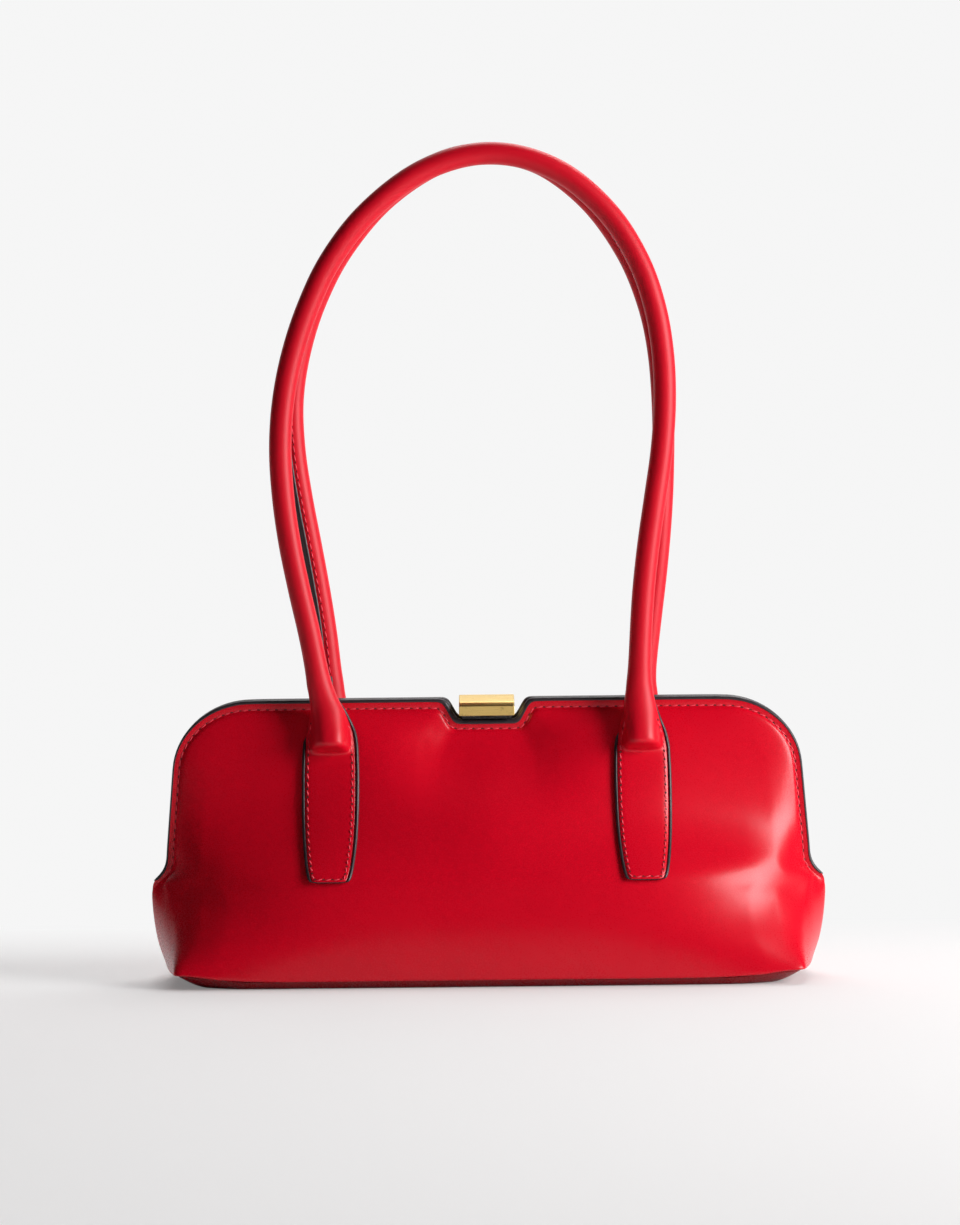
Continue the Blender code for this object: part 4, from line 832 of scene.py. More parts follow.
def lower_rows(shares):
    """Rows of the wall below the tips, from the right end seam to the left one."""
    rows = []
    for height, tuck in WALL_ROWS:
        z, inset = height * MM, tuck * MM
        columns = plan_columns(z, inset)
        right = [(p.x, p.y, z) for p in columns[:4]]
        for p in columns[4:]:
            face = depth_at(p.x, z) - inset
            right.append((p.x, lerp(p.y, face, ramp(z, MERGE_START, MERGE_REACH)), z))
        xs = [columns[-1].x * share for share in shares[1:-1]]
        row = right + [(x, depth_at(x, z) - inset, z) for x in xs] + mirrored(right)
        rows.append([(x, y, w + seam_rise(x, w)) for x, y, w in row])
    return rows


def upper_rows(lines, top, shares):
    """Rows from the tips to the middle of the corners, filled in between the rim's lines."""
    side = [Vector((x, z)) for x, _, z in lines[-1][:SPLIT + 1]]
    lengths, across = lengths_along(side), lengths_along(top)
    across = [a / across[-1] for a in across]
    rows = []
    for i in range(SPLIT + 1):
        up = lengths[i] / lengths[-1]
        inside = []
        for j in range(1, len(top) - 1):
            foot = Vector((side[0].x * shares[j], side[0].y))
            edge, base, corner = [Vector((lerp(p.x, -p.x, across[j]), p.y))
                                  for p in (side[i], side[0], top[0])]
            p = foot.lerp(top[j], up) + edge - base.lerp(corner, up)
            inside.append((p.x, depth_at(p.x, p.y), p.y))
        right = [line[i] for line in lines]
        rows.append(right + inside + mirrored(right))
    return rows


def build_wall(half):
    """One leather wall: foot seam, ridge, puffed face, padded step, stitched band."""
    lines = rim_lines()
    top = whole([Vector((x, z)) for x, _, z in lines[-1][SPLIT:]])
    shares = [p.x / top[0].x for p in top]
    rows = lower_rows(shares) + upper_rows(lines, top, shares)
    bm = bmesh.new()
    grid = vertex_rows(bm, [on_half(row, half) for row in rows])
    strips(bm, grid)
    count = len(lines) - 1
    below = grid[-1][count:len(grid[-1]) - count]
    for k in reversed(range(count)):
        upper = lines[k][SPLIT + 1:]
        upper = on_half(upper + mirrored(upper[:-1]), half)
        row = [grid[-1][k], *vertex_rows(bm, [upper])[0], grid[-1][-1 - k]]
        strips(bm, [below, row])
        below = row
    wall = new_piece(HALVES[half] + "_wall", bm, leather_material(), levels=2, angle=50,
                     thickness=sizes().leather, facing=(0, half, 0))
    bend_wall(wall, half)
    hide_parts(HALVES[half] + "_lower_panel", HALVES[half] + "_upper_panel")


# Painted edges, facings and linings

def wander(place, shape):
    """How heavy painted work is at a place: 1, or a little more or less."""
    amount, density = shape
    return 1 + amount * noise.noise(place * density)


def build_bead(half):
    """Painted edge round the rim: a bead that laps onto the band and fades at the tips."""
    outer = whole(rim_line((0, 0, 0, 0) if half == FRONT else REAR_RISE))
    rings = []
    for a, b in zip(outer, whole(rim_line(BEAD_WIDTH))):
        uneven = wander(Vector((a.x, a.y, half)), RIM_WANDER)
        lap = [(a.lerp(b, share * uneven), lift * MM) for share, lift in BEAD_SECTION]
        ring = [(p.x, half * (RIM_DEPTH + lift), p.y) for p, lift in lap]
        ring += [(p.x, half * (BEAD_BACK - lift * BEAD_BACK_SHARE), p.y) for p, lift in reversed(lap[:-1])]
        rings.append(ring)
    bead = new_piece(HALVES[half] + "_rim_edge", loft(rings), edge_material(), levels=1)
    bend_wall(bead, half)
    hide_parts(HALVES[half] + "_edge_trim")


def build_facing(half):
    """Leather band inside the rim, over the steel frame, cut out round the clasp's plate."""
    lines = [(even_line(inset * MM), half * depth * MM) for inset, depth in FACING_SECTION]
    rings = [[(line[i].x, y, line[i].y) for line, y in lines] for i in range(1, len(lines[0][0]) - 1)]
    facing = new_piece(HALVES[half] + "_rim_facing", loft(rings), leather_material(), angle=50)
    deselect()
    low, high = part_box("clasp_keeper" if half == FRONT else "clasp_bracket")
    rim = sizes().rim_height
    bpy.ops.mesh.primitive_cube_add(size=1, location=(0, 0, (low.z + rim) / 2), scale=(
        high.x - low.x + PLATE_CLEARANCE, PLATE_CUT, rim - low.z + PLATE_CLEARANCE))
    cutter = bpy.context.object
    opening = facing.modifiers.new("plate", "BOOLEAN")
    opening.object = cutter
    opening.solver = "EXACT"
    apply_modifiers(facing)
    bpy.data.objects.remove(cutter, do_unlink=True)
    bend_wall(facing, half)
    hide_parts(HALVES[half] + "_facing")


def build_lining(half):
    """Cloth behind the wall, from the facing down to the board."""
    inner = even_line(LINING_INSET)
    side, count = inner[:SPLIT + 1], len(inner)
    shares = [p.x / inner[SPLIT].x for p in inner[SPLIT:count - SPLIT]]
    rows = []
    for height in LINING_HEIGHTS:
        z = height * MM
        columns = [Vector((p.x - CLOTH_THICKNESS, p.y)) for p in plan_columns(z, LINING_GAP)[2:]]
        right = [(p.x, max(p.y, LINING_END_DEPTH), z) for p in columns]
        xs = [columns[-1].x * share for share in shares[1:-1]]
        rows.append(right + [(x, depth_at(x, z) - LINING_GAP, z) for x in xs] + mirrored(right))
    low = rows[-1]
    last = len(low) - 1
    for i in range(1, SPLIT + 1):
        up = i / SPLIT
        wider = side[i].x - lerp(side[0].x, side[SPLIT].x, up)
        higher = side[i].y - lerp(side[0].y, side[SPLIT].y, up)
        row = []
        for j, below in enumerate(low):
            share = j / last
            top = inner[SPLIT + round(share * (count - 1 - 2 * SPLIT))]
            x = lerp(below[0], top.x, up) + wider * (1 - 2 * share)
            z = lerp(below[2], top.y, up) + higher
            depth = LINING_EDGE_DEPTH
            if 0 < j < last and i < SPLIT:
                depth = max(depth_at(x, z) - LINING_GAP, depth)
            row.append((x, depth, z))
        rows.append(row)
    bm = bmesh.new()
    strips(bm, vertex_rows(bm, [on_half(row, half) for row in rows]))
    cloth = new_piece(HALVES[half] + "_cloth", bm, lining_material(), levels=1,
                      thickness=CLOTH_THICKNESS, facing=(0, half, 0))
    bend_wall(cloth, half)
    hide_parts(HALVES[half] + "_lining")


# Base

def plan_ring(z, inset, height):
    """The whole plan of the lower body at a height, as a closed ring of points."""
    _, ridge_x, _, end_x = wall_sizes(z)
    xs = [ridge_x * share for share in PLAN_SHARES]
    quarter = [Vector((x - (inset if x else 0) * x / ridge_x, low_depth(x, z) - inset)) for x in xs]
    quarter += [Vector((p.x - inset, p.y - inset)) for p in reversed(plan_columns(z, 0.0)[2:])]
    quarter.append(Vector((end_x - inset, 0.0)))
    right = [(p.x, -max(p.y, 0.0)) for p in quarter]
    right += [(p.x, max(p.y, 0.0)) for p in reversed(quarter[:-1])]
    ring = right + [(-x, y) for x, y in reversed(right[1:-1])]
    return [(x, y, height) for x, y in ring]


def rounded_plan(ring, half_x, half_y, radius):
    """The same ring drawn in to a rectangle with rounded corners."""
    out = []
    for x, y, _ in ring:
        inner = Vector((min(max(x, radius - half_x), half_x - radius),
                        min(max(y, radius - half_y), half_y - radius)))
        p = inner + (Vector((x, y)) - inner).normalized() * radius
        out.append((p.x, p.y, 0.0))
    return out


def build_base():
    """Leather-covered base that rolls in under the seam, more so at its corners."""
    half_x, half_y = sizes().length / 2, sizes().depth / 2
    seam = [(x, y, z + seam_rise(x, z)) for x, y, z in plan_ring(BASE_HEIGHT, BASE_INSET, SEAM_HEIGHT)]
    ground = rounded_plan(seam, half_x - BASE_END_INSET, half_y - BASE_SIDE_INSET, BASE_CORNER)

    def ring(out, height):
        return [(lerp(a[0], b[0], out), lerp(a[1], b[1], out), height(a[2]))
                for a, b in zip(seam, ground)]

    rings = [ring(out, lambda z: z + lift * MM) for out, lift in SEAM_RINGS]
    rings += [ring(out, lambda z: z * down) for out, down in BASE_ROUND]
    rings += [[(x * along, y * across, 0.0) for x, y, z in ground] for along, across in UNDERSIDE]
    # The base gets darker leather: painted shade under the overhang of the wall
    leather = leather_material("base leather", strength=BASE_PAINTED_SHADE)
    base = new_piece("base_cover", loft(rings), leather, levels=1)
    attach(base, "lower_body")
    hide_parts("base_panel", "base_welt")
    rings = []
    for inset, height in BOARD_RINGS:
        plan = rounded_plan(seam, half_x - BOARD_END_INSET - inset * MM,
                            half_y - BOARD_SIDE_INSET - inset * MM, BOARD_CORNER)
        rings.append([(x, y, height * MM) for x, y, z in plan])
    board = new_piece("base_stiffener", loft(rings), board_material(), angle=40)
    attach(board, "lower_body")
    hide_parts("base_board")
    tub = [plan_ring(BASE_HEIGHT, inset * MM, height * MM) for inset, height in CLOTH_RINGS]
    cloth = new_piece("floor_cloth", loft(tub), lining_material(), levels=1)
    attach(cloth, "lower_body")
    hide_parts("lower_lining")


# Handles and their tabs

def smooth_path(points, samples):
    """Even steps along a smooth curve through the points."""
    ends = [points[0] * 2 - points[1]] + points + [points[-1] * 2 - points[-2]]
    fine = []
    for a, b, c, d in zip(ends, ends[1:], ends[2:], ends[3:]):
        for i in range(CURVE_STEPS):
            t = i / CURVE_STEPS
            fine.append(0.5 * ((2 * b) + (c - a) * t + (2 * a - 5 * b + 4 * c - d) * t ** 2
                               + (3 * b - a - 3 * c + d) * t ** 3))
    fine.append(points[-1])
    lengths = lengths_along(fine)
    places = np.linspace(0, lengths[-1], samples)
    axes = [np.interp(places, lengths, [p[k] for p in fine]) for k in range(3)]
    return [Vector(p) for p in zip(*axes)]


class Roll:
    """One handle with its two tabs, as a row of rings from foot to foot."""

    def __init__(self, half):
        self.half = half
        self.rings = []
        arch = []
        for x, z in ARCHES[half]:
            up = clamp((z * MM - NECK_HEIGHT) / ARCH_RISE)
            arch.append(Vector((x * MM, half * lerp(NECK_DEPTH, ARCH_DEPTH, up), z * MM)))
        line = smooth_path(arch, ARCH_RINGS)
        self.low_rings(LEFT, line[0])
        self.arch_start = len(self.rings)
        for i, p in enumerate(line):
            along = (line[min(i + 1, len(line) - 1)] - line[max(i - 1, 0)]).normalized()
            self.rings.append({"centre": p, "width": 0, "along": along, "merge": 1.0, "tube": True})
        self.arch = self.rings[self.arch_start:]
        self.low_rings(RIGHT, line[-1])

    def low_rings(self, side, neck):
        """Rings of a tab; the rear tabs' necks lean to meet their own handle."""
        rings = []
        for z, shift, width in TAB_LOW + TAB_HIGH[side]:
            lean = shift * MM
            if self.half == REAR:
                lean = (neck.x - TAB_X[side]) * ramp(z, NECK_LEAN_START, NECK_LEAN_REACH)
            rings.append({"centre": Vector((TAB_X[side] + lean, 0, z * MM)), "width": width * MM,
                          "along": Vector((0, 0, -side)), "merge": ramp(z, CLOSE_START, CLOSE_REACH),
                          "tube": False})
        self.rings += rings if side == LEFT else rings[::-1]

    def point(self, ring, turn):
        """A place on a ring's surface: turn is 0 at the outer face, 1 at a side, 2 at the back."""
        turn = (turn + 2) % 4 - 2
        angle = turn * math.pi / 2
        if ring["tube"]:
            return self.tube_point(ring, angle)
        centre = ring["centre"]
        across = ring["along"].z * -self.half
        tab = self.tab_point(ring, across, turn)
        crest, back = table(ROLL_CREST, centre.z), max(tab_seat(centre.x, centre.z), ROLL_BACK)
        wide = table(ROLL_WIDTH, centre.z) / 2
        depth = (crest + back) / 2 + (crest - back) / 2 * math.cos(angle)
        closed = Vector((centre.x + across * wide * math.sin(angle), self.half * depth, centre.z))
        return tab.lerp(closed, ring["merge"])

    def tube_point(self, ring, angle):
        centre, along = ring["centre"], ring["along"]
        out = square_to(along, Vector((0, self.half, 0))).normalized()
        wide = table(ROLL_WIDTH, centre.z) / 2
        return centre + along.cross(out) * wide * math.sin(angle) + out * TUBE_RADIUS * math.cos(angle)

    def tab_point(self, ring, across, turn):
        """A place on the flat tab, whose middle rises into the roll."""
        share = turn if abs(turn) <= 1 else (2 - abs(turn)) * math.copysign(1, turn)
        z, width = ring["centre"].z, ring["width"]
        x = ring["centre"].x + across * share * width / 2
        depth = tab_seat(x, z)
        if abs(turn) <= 1:
            depth += TAB_THICKNESS * (1 - TAB_EDGE_THINNING * abs(share) ** TAB_EDGE_POWER)
            depth += TAB_CROWN * (1 - share ** 2)
            reach = abs(share) * width / table(ROLL_WIDTH, z)
            dome = max(1 - reach ** DOME_REACH_POWER, 0.0) ** DOME_POWER
            rise = table(ROLL_CREST, z) - (tab_seat(ring["centre"].x, z) + TAB_THICKNESS)
            depth += ramp(z, DOME_START, DOME_REACH) * dome * max(rise, 0.0)
        return Vector((x, self.half * depth, z))

    def middle(self, ring):
        return (self.point(ring, 0) + self.point(ring, 2)) / 2


def cut(piece, place, normal, above, fill):
    """Cuts a piece with a plane and keeps what lies above it, along its normal, or below it."""
    activate(piece)
    bpy.ops.object.mode_set(mode="EDIT")
    bpy.ops.mesh.select_all(action="SELECT")
    bpy.ops.mesh.bisect(plane_co=place, plane_no=normal, use_fill=fill,
                        clear_inner=above, clear_outer=not above)
    bpy.ops.object.mode_set(mode="OBJECT")


def part_of(whole_piece, name, above):
    """The part of a piece above or below the height at which handles and tabs are parted."""
    piece = linked(name, whole_piece.data.copy())
    cut(piece, (0, 0, SPLIT_HEIGHT), (0, 0, 1), above, fill=True)
    shade_smooth(piece)
    return piece


def build_roll(half):
    """Leather of both tabs and the rolled handle, made in one and parted on the roll."""
    roll = Roll(half)
    turns = [-1 + 2 * i / FRONT_SIDES for i in range(FRONT_SIDES + 1)]
    turns += [1 + 2 * i / BACK_SIDES for i in range(1, BACK_SIDES)]
    bm = loft([[roll.point(ring, turn) for turn in turns] for ring in roll.rings])
    leather = leather_material("rolled leather", rolled=True)
    both_parts = new_piece(HALVES[half] + "_leather", bm, leather, levels=1)
    for side in (LEFT, RIGHT):
        name = corner_name(half, side) + "_tab"
        tab = part_of(both_parts, name + "_leather", above=False)
        cut(tab, (0, 0, 0), (1, 0, 0), side == RIGHT, fill=False)
        bend_wall(tab, half)
        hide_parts(name)
    handle = part_of(both_parts, HALVES[half] + "_handle_roll", above=True)
    bend_handle(handle, half)
    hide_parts(HALVES[half] + "_handle_cover")
    bpy.data.objects.remove(both_parts, do_unlink=True)
    for build in (build_filler, build_tab_boards, build_tab_edges, build_handle_edge, build_tab_stitches,
                  build_handle_stitches):
        build(roll)


def build_filler(roll):
    """The felted cord inside the roll."""
    rings = []
    for ring in roll.arch[::2]:
        out = square_to(ring["along"], Vector((0, roll.half, 0))).normalized()
        turns = [Matrix.Rotation(math.tau * i / FILLER_SIDES, 3, ring["along"])
                 for i in range(FILLER_SIDES)]
        rings.append([ring["centre"] + turn @ out * (TUBE_RADIUS - sizes().leather) for turn in turns])
    piece = new_piece(HALVES[roll.half] + "_handle_filler", loft(rings), board_material())
    bend_handle(piece, roll.half)
    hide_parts(HALVES[roll.half] + "_handle_core")


def build_tab_boards(roll):
    """Stiffener behind each tab, between the wall and the lining."""
    for side in (LEFT, RIGHT):
        rings = []
        for i in range(TAB_BOARD_STEPS + 1):
            z = lerp(TAB_BOARD_FOOT, TAB_BOARD_TOP, i / TAB_BOARD_STEPS)
            across = [TAB_X[side] + x for x in (-TAB_BOARD_HALF, 0, TAB_BOARD_HALF)]
            behind = sizes().leather + TAB_BOARD_GAP
            outer = [(x, tab_seat(x, z) - behind, z) for x in across]
            inner = [(x, tab_seat(x, z) - behind - TAB_BOARD_THICKNESS, z) for x in reversed(across)]
            rings.append(on_half(outer + inner, roll.half))
        name = corner_name(roll.half, side) + "_tab"
        piece = new_piece(name + "_board", loft(rings), board_material(), angle=40)
        bend_wall(piece, roll.half)
        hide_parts(name + "_stiffener")


def tab_rings(roll, side):
    """The rings of one tab, from its foot up to where the roll closes behind."""
    rings = roll.rings if side == LEFT else roll.rings[::-1]
    return rings[:roll.arch_start + 2]


def build_tab_edges(roll):
    """Painted edge round each tab; one side climbs on and closes behind the neck of the roll."""
    half = roll.half
    for side in (LEFT, RIGHT):
        rings = tab_rings(roll, side)
        runs = []
        for turn in (-1, 1):
            climbs = turn == -side
            start, reach, limit = CLIMBING_EDGE if climbs else SHORT_EDGE
            weight = EDGE_WEIGHTS[side][0 if climbs else 1]
            run = []
            for ring in rings[1:]:
                z = ring["centre"].z
                thin = lerp(1.0, NECK_EDGE_SHARE, ramp(z, NECK_THIN_START, NECK_THIN_REACH))
                run.append(edge_ring(roll, ring, turn * (1 + limit * ramp(z, start, reach)), weight * thin))
            runs.append(run)
        foot = [foot_ring(roll, rings[0], -1 + 2 * i / FOOT_STEPS) for i in range(FOOT_STEPS + 1)]
        name = corner_name(half, side)
        edge = new_piece(name + "_edge", loft(runs[0][::-1] + foot + runs[1]), edge_material(), levels=1)
        for part, bend in (("_tab_edge", bend_wall), ("_neck_edge", bend_handle)):
            piece = part_of(edge, name + part, bend == bend_handle)
            bend(piece, half)
        bpy.data.objects.remove(edge, do_unlink=True)


def edge_ring(roll, ring, turn, weight):
    """Section of the painted edge at a place on a ring, heavier or thinner by its weight."""
    place = roll.point(ring, turn)
    out = place - roll.middle(ring)
    out = Vector((out.x, out.y, 0)).normalized()
    if abs(turn) <= FRONT_TURN:
        out = Vector((math.copysign(1, out.x), 0, 0))
    up = square_to(out, Vector((0, roll.half, 0)))
    if up.length < HEAD_ON:
        up = square_to(out, Vector((math.copysign(1, place.x - ring["centre"].x), 0, 0)))
    up.normalize()
    uneven, spread = wander(place, TAB_WANDER), EDGE_SPREAD * (weight - 1)
    return [place + (out * (a + spread) * uneven * min(weight, WIDEST_EDGE)
                     + up * b * min(weight, 1.0)) * MM for a, b in TAB_EDGE]


def foot_ring(roll, foot, share):
    """Section of the painted edge at a place along the foot of a tab."""
    place = roll.point(foot, share)
    turn = abs(share) ** FOOT_CORNER_POWER
    across = Vector((foot["along"].z * -roll.half, 0, 0)) * math.copysign(1, share) * turn
    out = (Vector((0, 0, -1)) * (1 - FOOT_ROUND * turn) + across * FOOT_ROUND).normalized()
    seat = tab_seat(place.x, place.z)
    place = Vector((place.x, roll.half * (seat + FOOT_RISE), place.z))
    up = Vector((0, roll.half, 0))
    return [place + (out * a + up * b) * MM for a, b in TAB_EDGE]


def seam_side(roll, ring, further=0.0):
    """Direction from a ring's middle to its seam, turned further round it when asked."""
    outside = ring["along"].cross(Vector((0, 1, 0)))
    left, crown, right = SEAM_TURN[roll.half]
    x, _, z = ring["centre"]
    turn = lerp(left, crown, ramp(x, CROWN_START, CROWN_REACH))
    if x > 0:
        turn = lerp(right, turn, ramp(z, RIGHT_START, RIGHT_REACH))
    side = outside * math.sin(turn) + Vector((0, -roll.half, 0)) * math.cos(turn)
    return Matrix.Rotation(further, 3, ring["along"]) @ square_to(ring["along"], side).normalized()


def build_handle_edge(roll):
    """Painted edges of the seam along the inner side of the roll."""
    rings = []
    for i, ring in enumerate(roll.arch):
        out = seam_side(roll, ring)
        tangent = ring["along"].cross(out)
        from_end = min(i, len(roll.arch) - 1 - i)
        taper = lerp(SEAM_TAPER, 1.0, smooth(from_end / SEAM_TAPER_RINGS))
        place = ring["centre"] + out * TUBE_RADIUS
        rings.append([place + (tangent * a * taper + out * b * taper) * MM for a, b in SEAM_EDGE])
    name = HALVES[roll.half] + "_handle_edge"
    piece = new_piece(name, loft(rings), edge_material(), levels=1)
    bend_handle(piece, roll.half)


# Stitches

def stitch_shape():
    """One stitch, modelled once: a slim rounded bar along X that dips at both ends."""
    deselect()
    bpy.ops.mesh.primitive_uv_sphere_add(segments=6, ring_count=5, radius=0.5, rotation=(0, math.pi / 2, 0))
    obj = bpy.context.object
    bpy.ops.object.transform_apply(rotation=True)
    thread = sizes().thread
    points = []
    for vert in obj.data.vertices:
        x, y, z = vert.co
        dip = STITCH_DIP * (x * 2) * (x * 2)
        points.append((x, y * thread, z * thread + STITCH_LIFT - dip))
    faces = [tuple(p.vertices) for p in obj.data.polygons]
    bpy.data.objects.remove(obj, do_unlink=True)
    return points, faces


def place_stitches(name, places, pitch, bend, half, length_share=0.76, slant=0.13, hole_size=1.0):
    """Stitches and their needle holes along a line of (point, normal) places."""
    lengths = lengths_along([point for point, normal in places])
    count = max(round(lengths[-1] / pitch), 2)
    pitch = lengths[-1] / count
    shape, faces = stitch_shape()
    verts, polygons, kinds = [], [], []

    def at(distance):
        point, normal = [Vector([float(np.interp(distance, lengths, [place[part][k] for place in places]))
                                 for k in range(3)]) for part in (0, 1)]
        return point, normal.normalized()

    for i in range(count):
        here = (i + 0.5) * pitch
        point, normal = at(here)
        along = (at(here + pitch / 3)[0] - at(here - pitch / 3)[0]).normalized()
        across = normal.cross(along).normalized()
        along = across.cross(normal)
        turn = slant * (1 + JITTER * noise.noise(point * JITTER_DENSITY))
        forward = along * math.cos(turn) + across * math.sin(turn)
        sideways = normal.cross(forward)
        start = len(verts)
        for x, y, z in shape:
            verts.append(point + forward * x * pitch * length_share + sideways * y + normal * z)
        polygons += [tuple(start + k for k in face) for face in faces]
        # A dark disc just above the leather at each hole: painted shade
        hole, normal = at(i * pitch)
        start = len(verts)
        for k in range(HOLE_SIDES):
            angle = math.tau / HOLE_SIDES * k
            verts.append(hole + normal * HOLE_RISE + (along * math.cos(angle) * HOLE_LENGTH
                         + across * math.sin(angle) * HOLE_WIDTH) * hole_size * MM)
        polygons.append(tuple(start + k for k in range(HOLE_SIDES)))
        kinds += [0] * len(faces) + [1]
    mesh = bpy.data.meshes.new(name)
    mesh.from_pydata(verts, [], polygons)
    mesh.materials.append(thread_material())
    mesh.materials.append(hole_shade_material())
    mesh.polygons.foreach_set("material_index", kinds)
    obj = linked(name, mesh)
    shade_smooth(obj)
    bend(obj, half)


def build_rim_stitches(half):
    """Stitches on the band outside, and their other side on the facing."""
    line = whole(rim_line(STITCH_INSET))[1:-1]
    for name, depth, side in (("_rim_stitches", RIM_DEPTH - RIM_SINK, half),
                              ("_facing_stitches", FACING_STITCH_DEPTH, -half)):
        places = [(Vector((p.x, half * depth, p.y)), Vector((0, side, 0))) for p in line]
        place_stitches(HALVES[half] + name, places, sizes().stitch_pitch, bend_wall, half)


def build_tab_stitches(roll):
    """Stitches up both sides of each tab and across its foot."""
    half = roll.half
    for side in (LEFT, RIGHT):
        rings = [r for r in tab_rings(roll, side) if TAB_STITCH_FOOT < r["centre"].z < TAB_STITCH_TOP]
        foot = rings[0]

        def place(ring, share):
            a = roll.point(ring, share)
            b = roll.point(ring, share * NEARBY_SHARE)
            across = (a - b).normalized() * math.copysign(1, share) if share else Vector((1, 0, 0))
            normal = across.cross(Vector((0, 0, 1)))
            if normal.y * half < 0:
                normal = -normal
            tilt = HIGH_TILT if ring["centre"].z > TILT_HEIGHT else LOW_TILT
            return a, (normal + Vector((0, half, tilt))).normalized()

        def edge_share(ring):
            return 1 - 2 * TAB_STITCH_INSET / ring["width"]

        left = [place(ring, -edge_share(ring)) for ring in reversed(rings)]
        middle = [place(foot, edge_share(foot) * (-1 + 2 * i / FOOT_STITCHES))
                  for i in range(1, FOOT_STITCHES)]
        right = [place(ring, edge_share(ring)) for ring in rings]
        name = corner_name(half, side) + "_tab_stitches"
        place_stitches(name, left + middle + right, sizes().tab_pitch, bend_wall, half,
                       length_share=0.72, slant=0.22)


def build_handle_stitches(roll):
    """Stitches beside the seam of the roll."""
    places = []
    for ring in roll.arch:
        normal = seam_side(roll, ring, STITCH_TURN)
        places.append((ring["centre"] + normal * (TUBE_RADIUS + HANDLE_STITCH_RISE), normal))
    place_stitches(HALVES[roll.half] + "_handle_stitches", places, sizes().stitch_pitch, bend_handle,
                   roll.half, hole_size=HANDLE_HOLE)


# Clasp and hardware

APRON_BAND, APRON_FOOT, APRON_TUCK = 0.1 * MM, 0.5 * MM, 0.45 * MM
CLASP_EASE, SAME_PLACE = 0.16 * MM, 0.002 * MM
FLAT_ANGLE, EASED_ANGLE, CLASP_SMOOTHING = math.radians(3), math.radians(25), 14


def build_clasp():
    """Plated bar over the notch, with its edges eased and its apron's foot drawn back."""
    bar = linked("clasp_bar", frame["nodes"]["clasp_lever"].data.copy())
    bar.data.materials.clear()
    bar.data.materials.append(gold_material())
    activate(bar)
    bpy.ops.object.mode_set(mode="EDIT")
    bpy.ops.mesh.select_all(action="SELECT")
    bpy.ops.mesh.remove_doubles(threshold=SAME_PLACE)
    bpy.ops.mesh.dissolve_limited(angle_limit=FLAT_ANGLE)
    bpy.ops.object.mode_set(mode="OBJECT")
    low = min(v.co.z for v in bar.data.vertices)
    front = min(v.co.y for v in bar.data.vertices)
    for vert in bar.data.vertices:
        if vert.co.y < front + APRON_BAND and vert.co.z < low + APRON_FOOT:
            vert.co.y += APRON_TUCK
    ease = bar.modifiers.new("eased edges", "BEVEL")
    ease.width = CLASP_EASE
    ease.segments = 2
    ease.limit_method = "ANGLE"
    ease.angle_limit = EASED_ANGLE
    ease.use_clamp_overlap = True
    apply_modifiers(bar)
    shade_smooth(bar, CLASP_SMOOTHING)
    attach(bar, "clasp_lever")
    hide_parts("clasp_lever")


def finish_hardware():
    """Gives every node that the frame brought the finish of its slot."""
    finishes = {"steel": steel_material(), "board": board_material(), "gold": gold_material(),
                "black_metal": enamel_material(), "filler": board_material(), "leather": leather_material(),
                "lining": lining_material(), "edge_paint": edge_material()}
    slots = {part["node"]: part["material_slot"] for part in frame["record"]["subparts"]}
    for name, node in frame["nodes"].items():
        node.data.materials.clear()
        node.data.materials.append(finishes[slots[name]])


# Stage

# The sweep's profile as (y, z), and how far it reaches to each side
SWEEP = ((-1.3, 0.0), (-0.4, 0.0), (0.35, 0.0), (0.55, 0.02), (0.72, 0.09), (0.82, 0.20), (0.88, 0.40),
         (0.90, 1.6))
SWEEP_HALF = 1.6
# The bag's footprint as a share of its size, and how fast the floor's painted shade round it fades away
# from it
FOOT_SHARE, GLOSSY_SHADE_FADE, SEEN_SHADE_FADE = 0.46, 45, 80
# How much of the backdrop's glow the leather mirrors near the bag, and the camera sees in the floor; both
# are cut back as painted shade round the bag's footprint
MIRRORED_GLOW, SEEN_GLOW, FLOOR_GLOW = 1.33, 0.45, 0.45
# The leather mirrors the backdrop no further to each side than this
MIRRORED_START, MIRRORED_STEEPNESS = 1.8, 2.5
# Where the floor turns into the backdrop: behind the bag, and all round it
FADE_START, FADE_STEEPNESS, RIM_FADE_START, RIM_FADE_STEEPNESS = 0.06, 3.2, 0.62, 2.2
# Each lamp as (name, place, aim, width, height, its power among the light's sizes)
LAMPS = (("key", (1.12, -0.58, 0.50), (0.0, 0, 0.10), 0.62, 0.80, "key"),
         ("top", (0.2, 0.60, 1.25), (0.02, 0.02, 0.0), 1.0, 0.7, "fill"))
LENS, SENSOR = 99.1, 36
CAMERA_X, CAMERA_HEIGHT, CAMERA_TILT = -2.5 * MM, 162.6 * MM, math.radians(0.62)


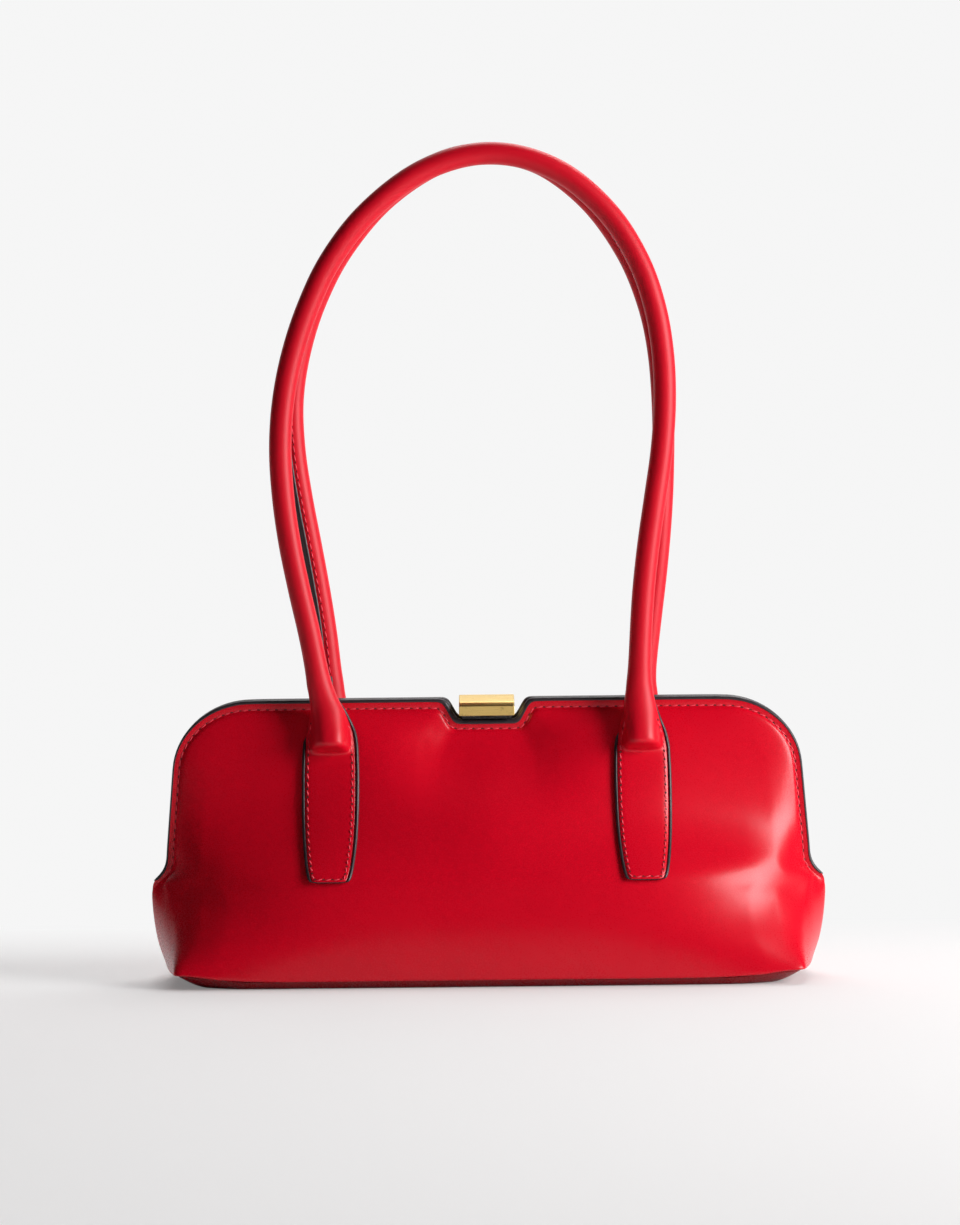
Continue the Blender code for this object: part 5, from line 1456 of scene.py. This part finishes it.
@finish("studio sweep")
def sweep_material(s):
    """Floor that takes soft shadows and turns into an even backdrop; it shows from its front only."""
    seen = s.node("ShaderNodeLightPath", output="Is Camera Ray")
    glossy, through = s.beside(seen, "Is Glossy Ray", "Is Transmission Ray")
    x, y = s.axes()[:2]
    beside = (x.math("ABSOLUTE") - sizes().length * FOOT_SHARE).math("MAXIMUM", 0.0)
    before = (y.math("ABSOLUTE") - sizes().depth * FOOT_SHARE).math("MAXIMUM", 0.0)
    away = (beside * beside + before * before).math("SQRT")
    # Painted shade: next to the bag the floor's glow fades, in the leather's reflections and to the camera
    clear = glossy * (away * GLOSSY_SHADE_FADE).limited() * MIRRORED_GLOW
    clear = clear + seen * (SEEN_GLOW + (1 - SEEN_GLOW) * (away * SEEN_SHADE_FADE).limited())
    behind = ((y - FADE_START) * FADE_STEEPNESS).limited()
    around = (((x * x + y * y).math("SQRT") - RIM_FADE_START) * RIM_FADE_STEEPNESS).limited()
    far = behind.math("MAXIMUM", around)
    near = (MIRRORED_START - x.math("ABSOLUTE") * MIRRORED_STEEPNESS).limited()
    floor = s.node("ShaderNodeBsdfDiffuse", {}, {"Color": (*colours().floor, 1.0)})
    glow = s.node("ShaderNodeEmission", {}, {"Color": (*colours().backdrop, 1.0), "Strength": 1.0})
    share = (clear * FLOOR_GLOW + (seen + glossy * near + through) * far).limited()
    front = s.blend_shaders(share, floor, glow)
    back = s.node("ShaderNodeBsdfTransparent")
    backfacing = s.node("ShaderNodeNewGeometry", output="Backfacing")
    s.node("ShaderNodeOutputMaterial", {}, {"Surface": s.blend_shaders(backfacing, front, back)})


def build_stage():
    """Sweep, world, lamps and camera."""
    scene = bpy.context.scene
    light = scene.bag_light
    bm = bmesh.new()
    strips(bm, vertex_rows(bm, [[(x, y, z) for x in (-SWEEP_HALF, SWEEP_HALF)] for y, z in SWEEP]))
    new_piece("sweep", bm, sweep_material(), levels=3, facing=(0, -1, 1))

    scene.world = scene.world or bpy.data.worlds.new("studio")
    scene.world.use_nodes = True
    s = Shading(scene.world.node_tree)
    room = s.node("ShaderNodeBackground", {}, {"Color": (1, 0.99, 0.98, 1), "Strength": light.world})
    backdrop = s.node("ShaderNodeBackground", {}, {"Color": (*colours().backdrop, 1.0), "Strength": 1.0})
    seen = s.node("ShaderNodeLightPath", output="Is Camera Ray")
    s.node("ShaderNodeOutputWorld", {}, {"Surface": s.blend_shaders(seen, room, backdrop)})

    for name, place, aim, width, height, power in LAMPS:
        lamp = bpy.data.lights.new(name, "AREA")
        lamp.shape = "RECTANGLE"
        lamp.size = width
        lamp.size_y = height
        lamp.energy = getattr(light, power)
        obj = linked(name, lamp)
        obj.location = place
        obj.rotation_euler = (Vector(aim) - Vector(place)).to_track_quat("-Z", "Y").to_euler()

    data = bpy.data.cameras.new("camera")
    data.lens = LENS
    data.sensor_width = SENSOR
    camera = linked("camera", data)
    camera.location = (CAMERA_X, -light.distance, CAMERA_HEIGHT)
    camera.rotation_euler = (math.pi / 2, CAMERA_TILT, 0)
    scene.camera = camera
    scene.view_settings.view_transform = "Standard"


# Operators, panel and registration

def operator(idname, label, words, work):
    """Makes an operator that runs the given work and fails loudly if it can't."""

    def execute(self, context):
        work()
        return {"FINISHED"}

    return type("BAG_OT_" + idname, (bpy.types.Operator,),
                {"bl_idname": "bag." + idname, "bl_label": label, "__doc__": words, "execute": execute})


def both(build):
    def work():
        for half in (FRONT, REAR):
            build(half)
    return work


OPERATORS = [
    operator("hardware", "Finish the hardware", "Gives the carried-over nodes their finishes",
             finish_hardware),
    operator("walls", "Leather walls", "Builds the two leather walls", both(build_wall)),
    operator("edges", "Painted edges", "Builds the painted edges round the rims", both(build_bead)),
    operator("facings", "Facings", "Builds the leather bands inside the rims", both(build_facing)),
    operator("linings", "Linings", "Builds the cloth linings", both(build_lining)),
    operator("base", "Base", "Builds the base and the floor cloth", build_base),
    operator("handles", "Handles and tabs", "Builds the rolled handles and their tabs", both(build_roll)),
    operator("stitches", "Rim stitches", "Builds the stitches round the rims", both(build_rim_stitches)),
    operator("clasp", "Clasp", "Builds the clasp bar", build_clasp),
    operator("stage", "Stage", "Builds the floor, lights and camera", build_stage)]


class BAG_PT_panel(bpy.types.Panel):
    bl_idname = "BAG_PT_panel"
    bl_label = "Frame bag"
    bl_space_type = "VIEW_3D"
    bl_region_type = "UI"
    bl_category = "Frame bag"

    def draw(self, context):
        for group in (context.scene.bag_sizes, context.scene.bag_colours, context.scene.bag_light):
            for key in group.bl_rna.properties.keys():
                if key not in ("rna_type", "name"):
                    self.layout.prop(group, key)
        for kind in OPERATORS:
            self.layout.operator(kind.bl_idname)


CLASSES = [BagSizes, BagColours, BagLight, *OPERATORS, BAG_PT_panel]


def register():
    for kind in CLASSES:
        bpy.utils.register_class(kind)
    bpy.types.Scene.bag_sizes = bpy.props.PointerProperty(type=BagSizes)
    bpy.types.Scene.bag_colours = bpy.props.PointerProperty(type=BagColours)
    bpy.types.Scene.bag_light = bpy.props.PointerProperty(type=BagLight)


def unregister():
    del bpy.types.Scene.bag_sizes
    del bpy.types.Scene.bag_colours
    del bpy.types.Scene.bag_light
    for kind in reversed(CLASSES):
        bpy.utils.unregister_class(kind)


def main():
    register()
    for kind in OPERATORS:
        group, name = kind.bl_idname.split(".")
        getattr(getattr(bpy.ops, group), name)()


if __name__ == "__main__":
    main()
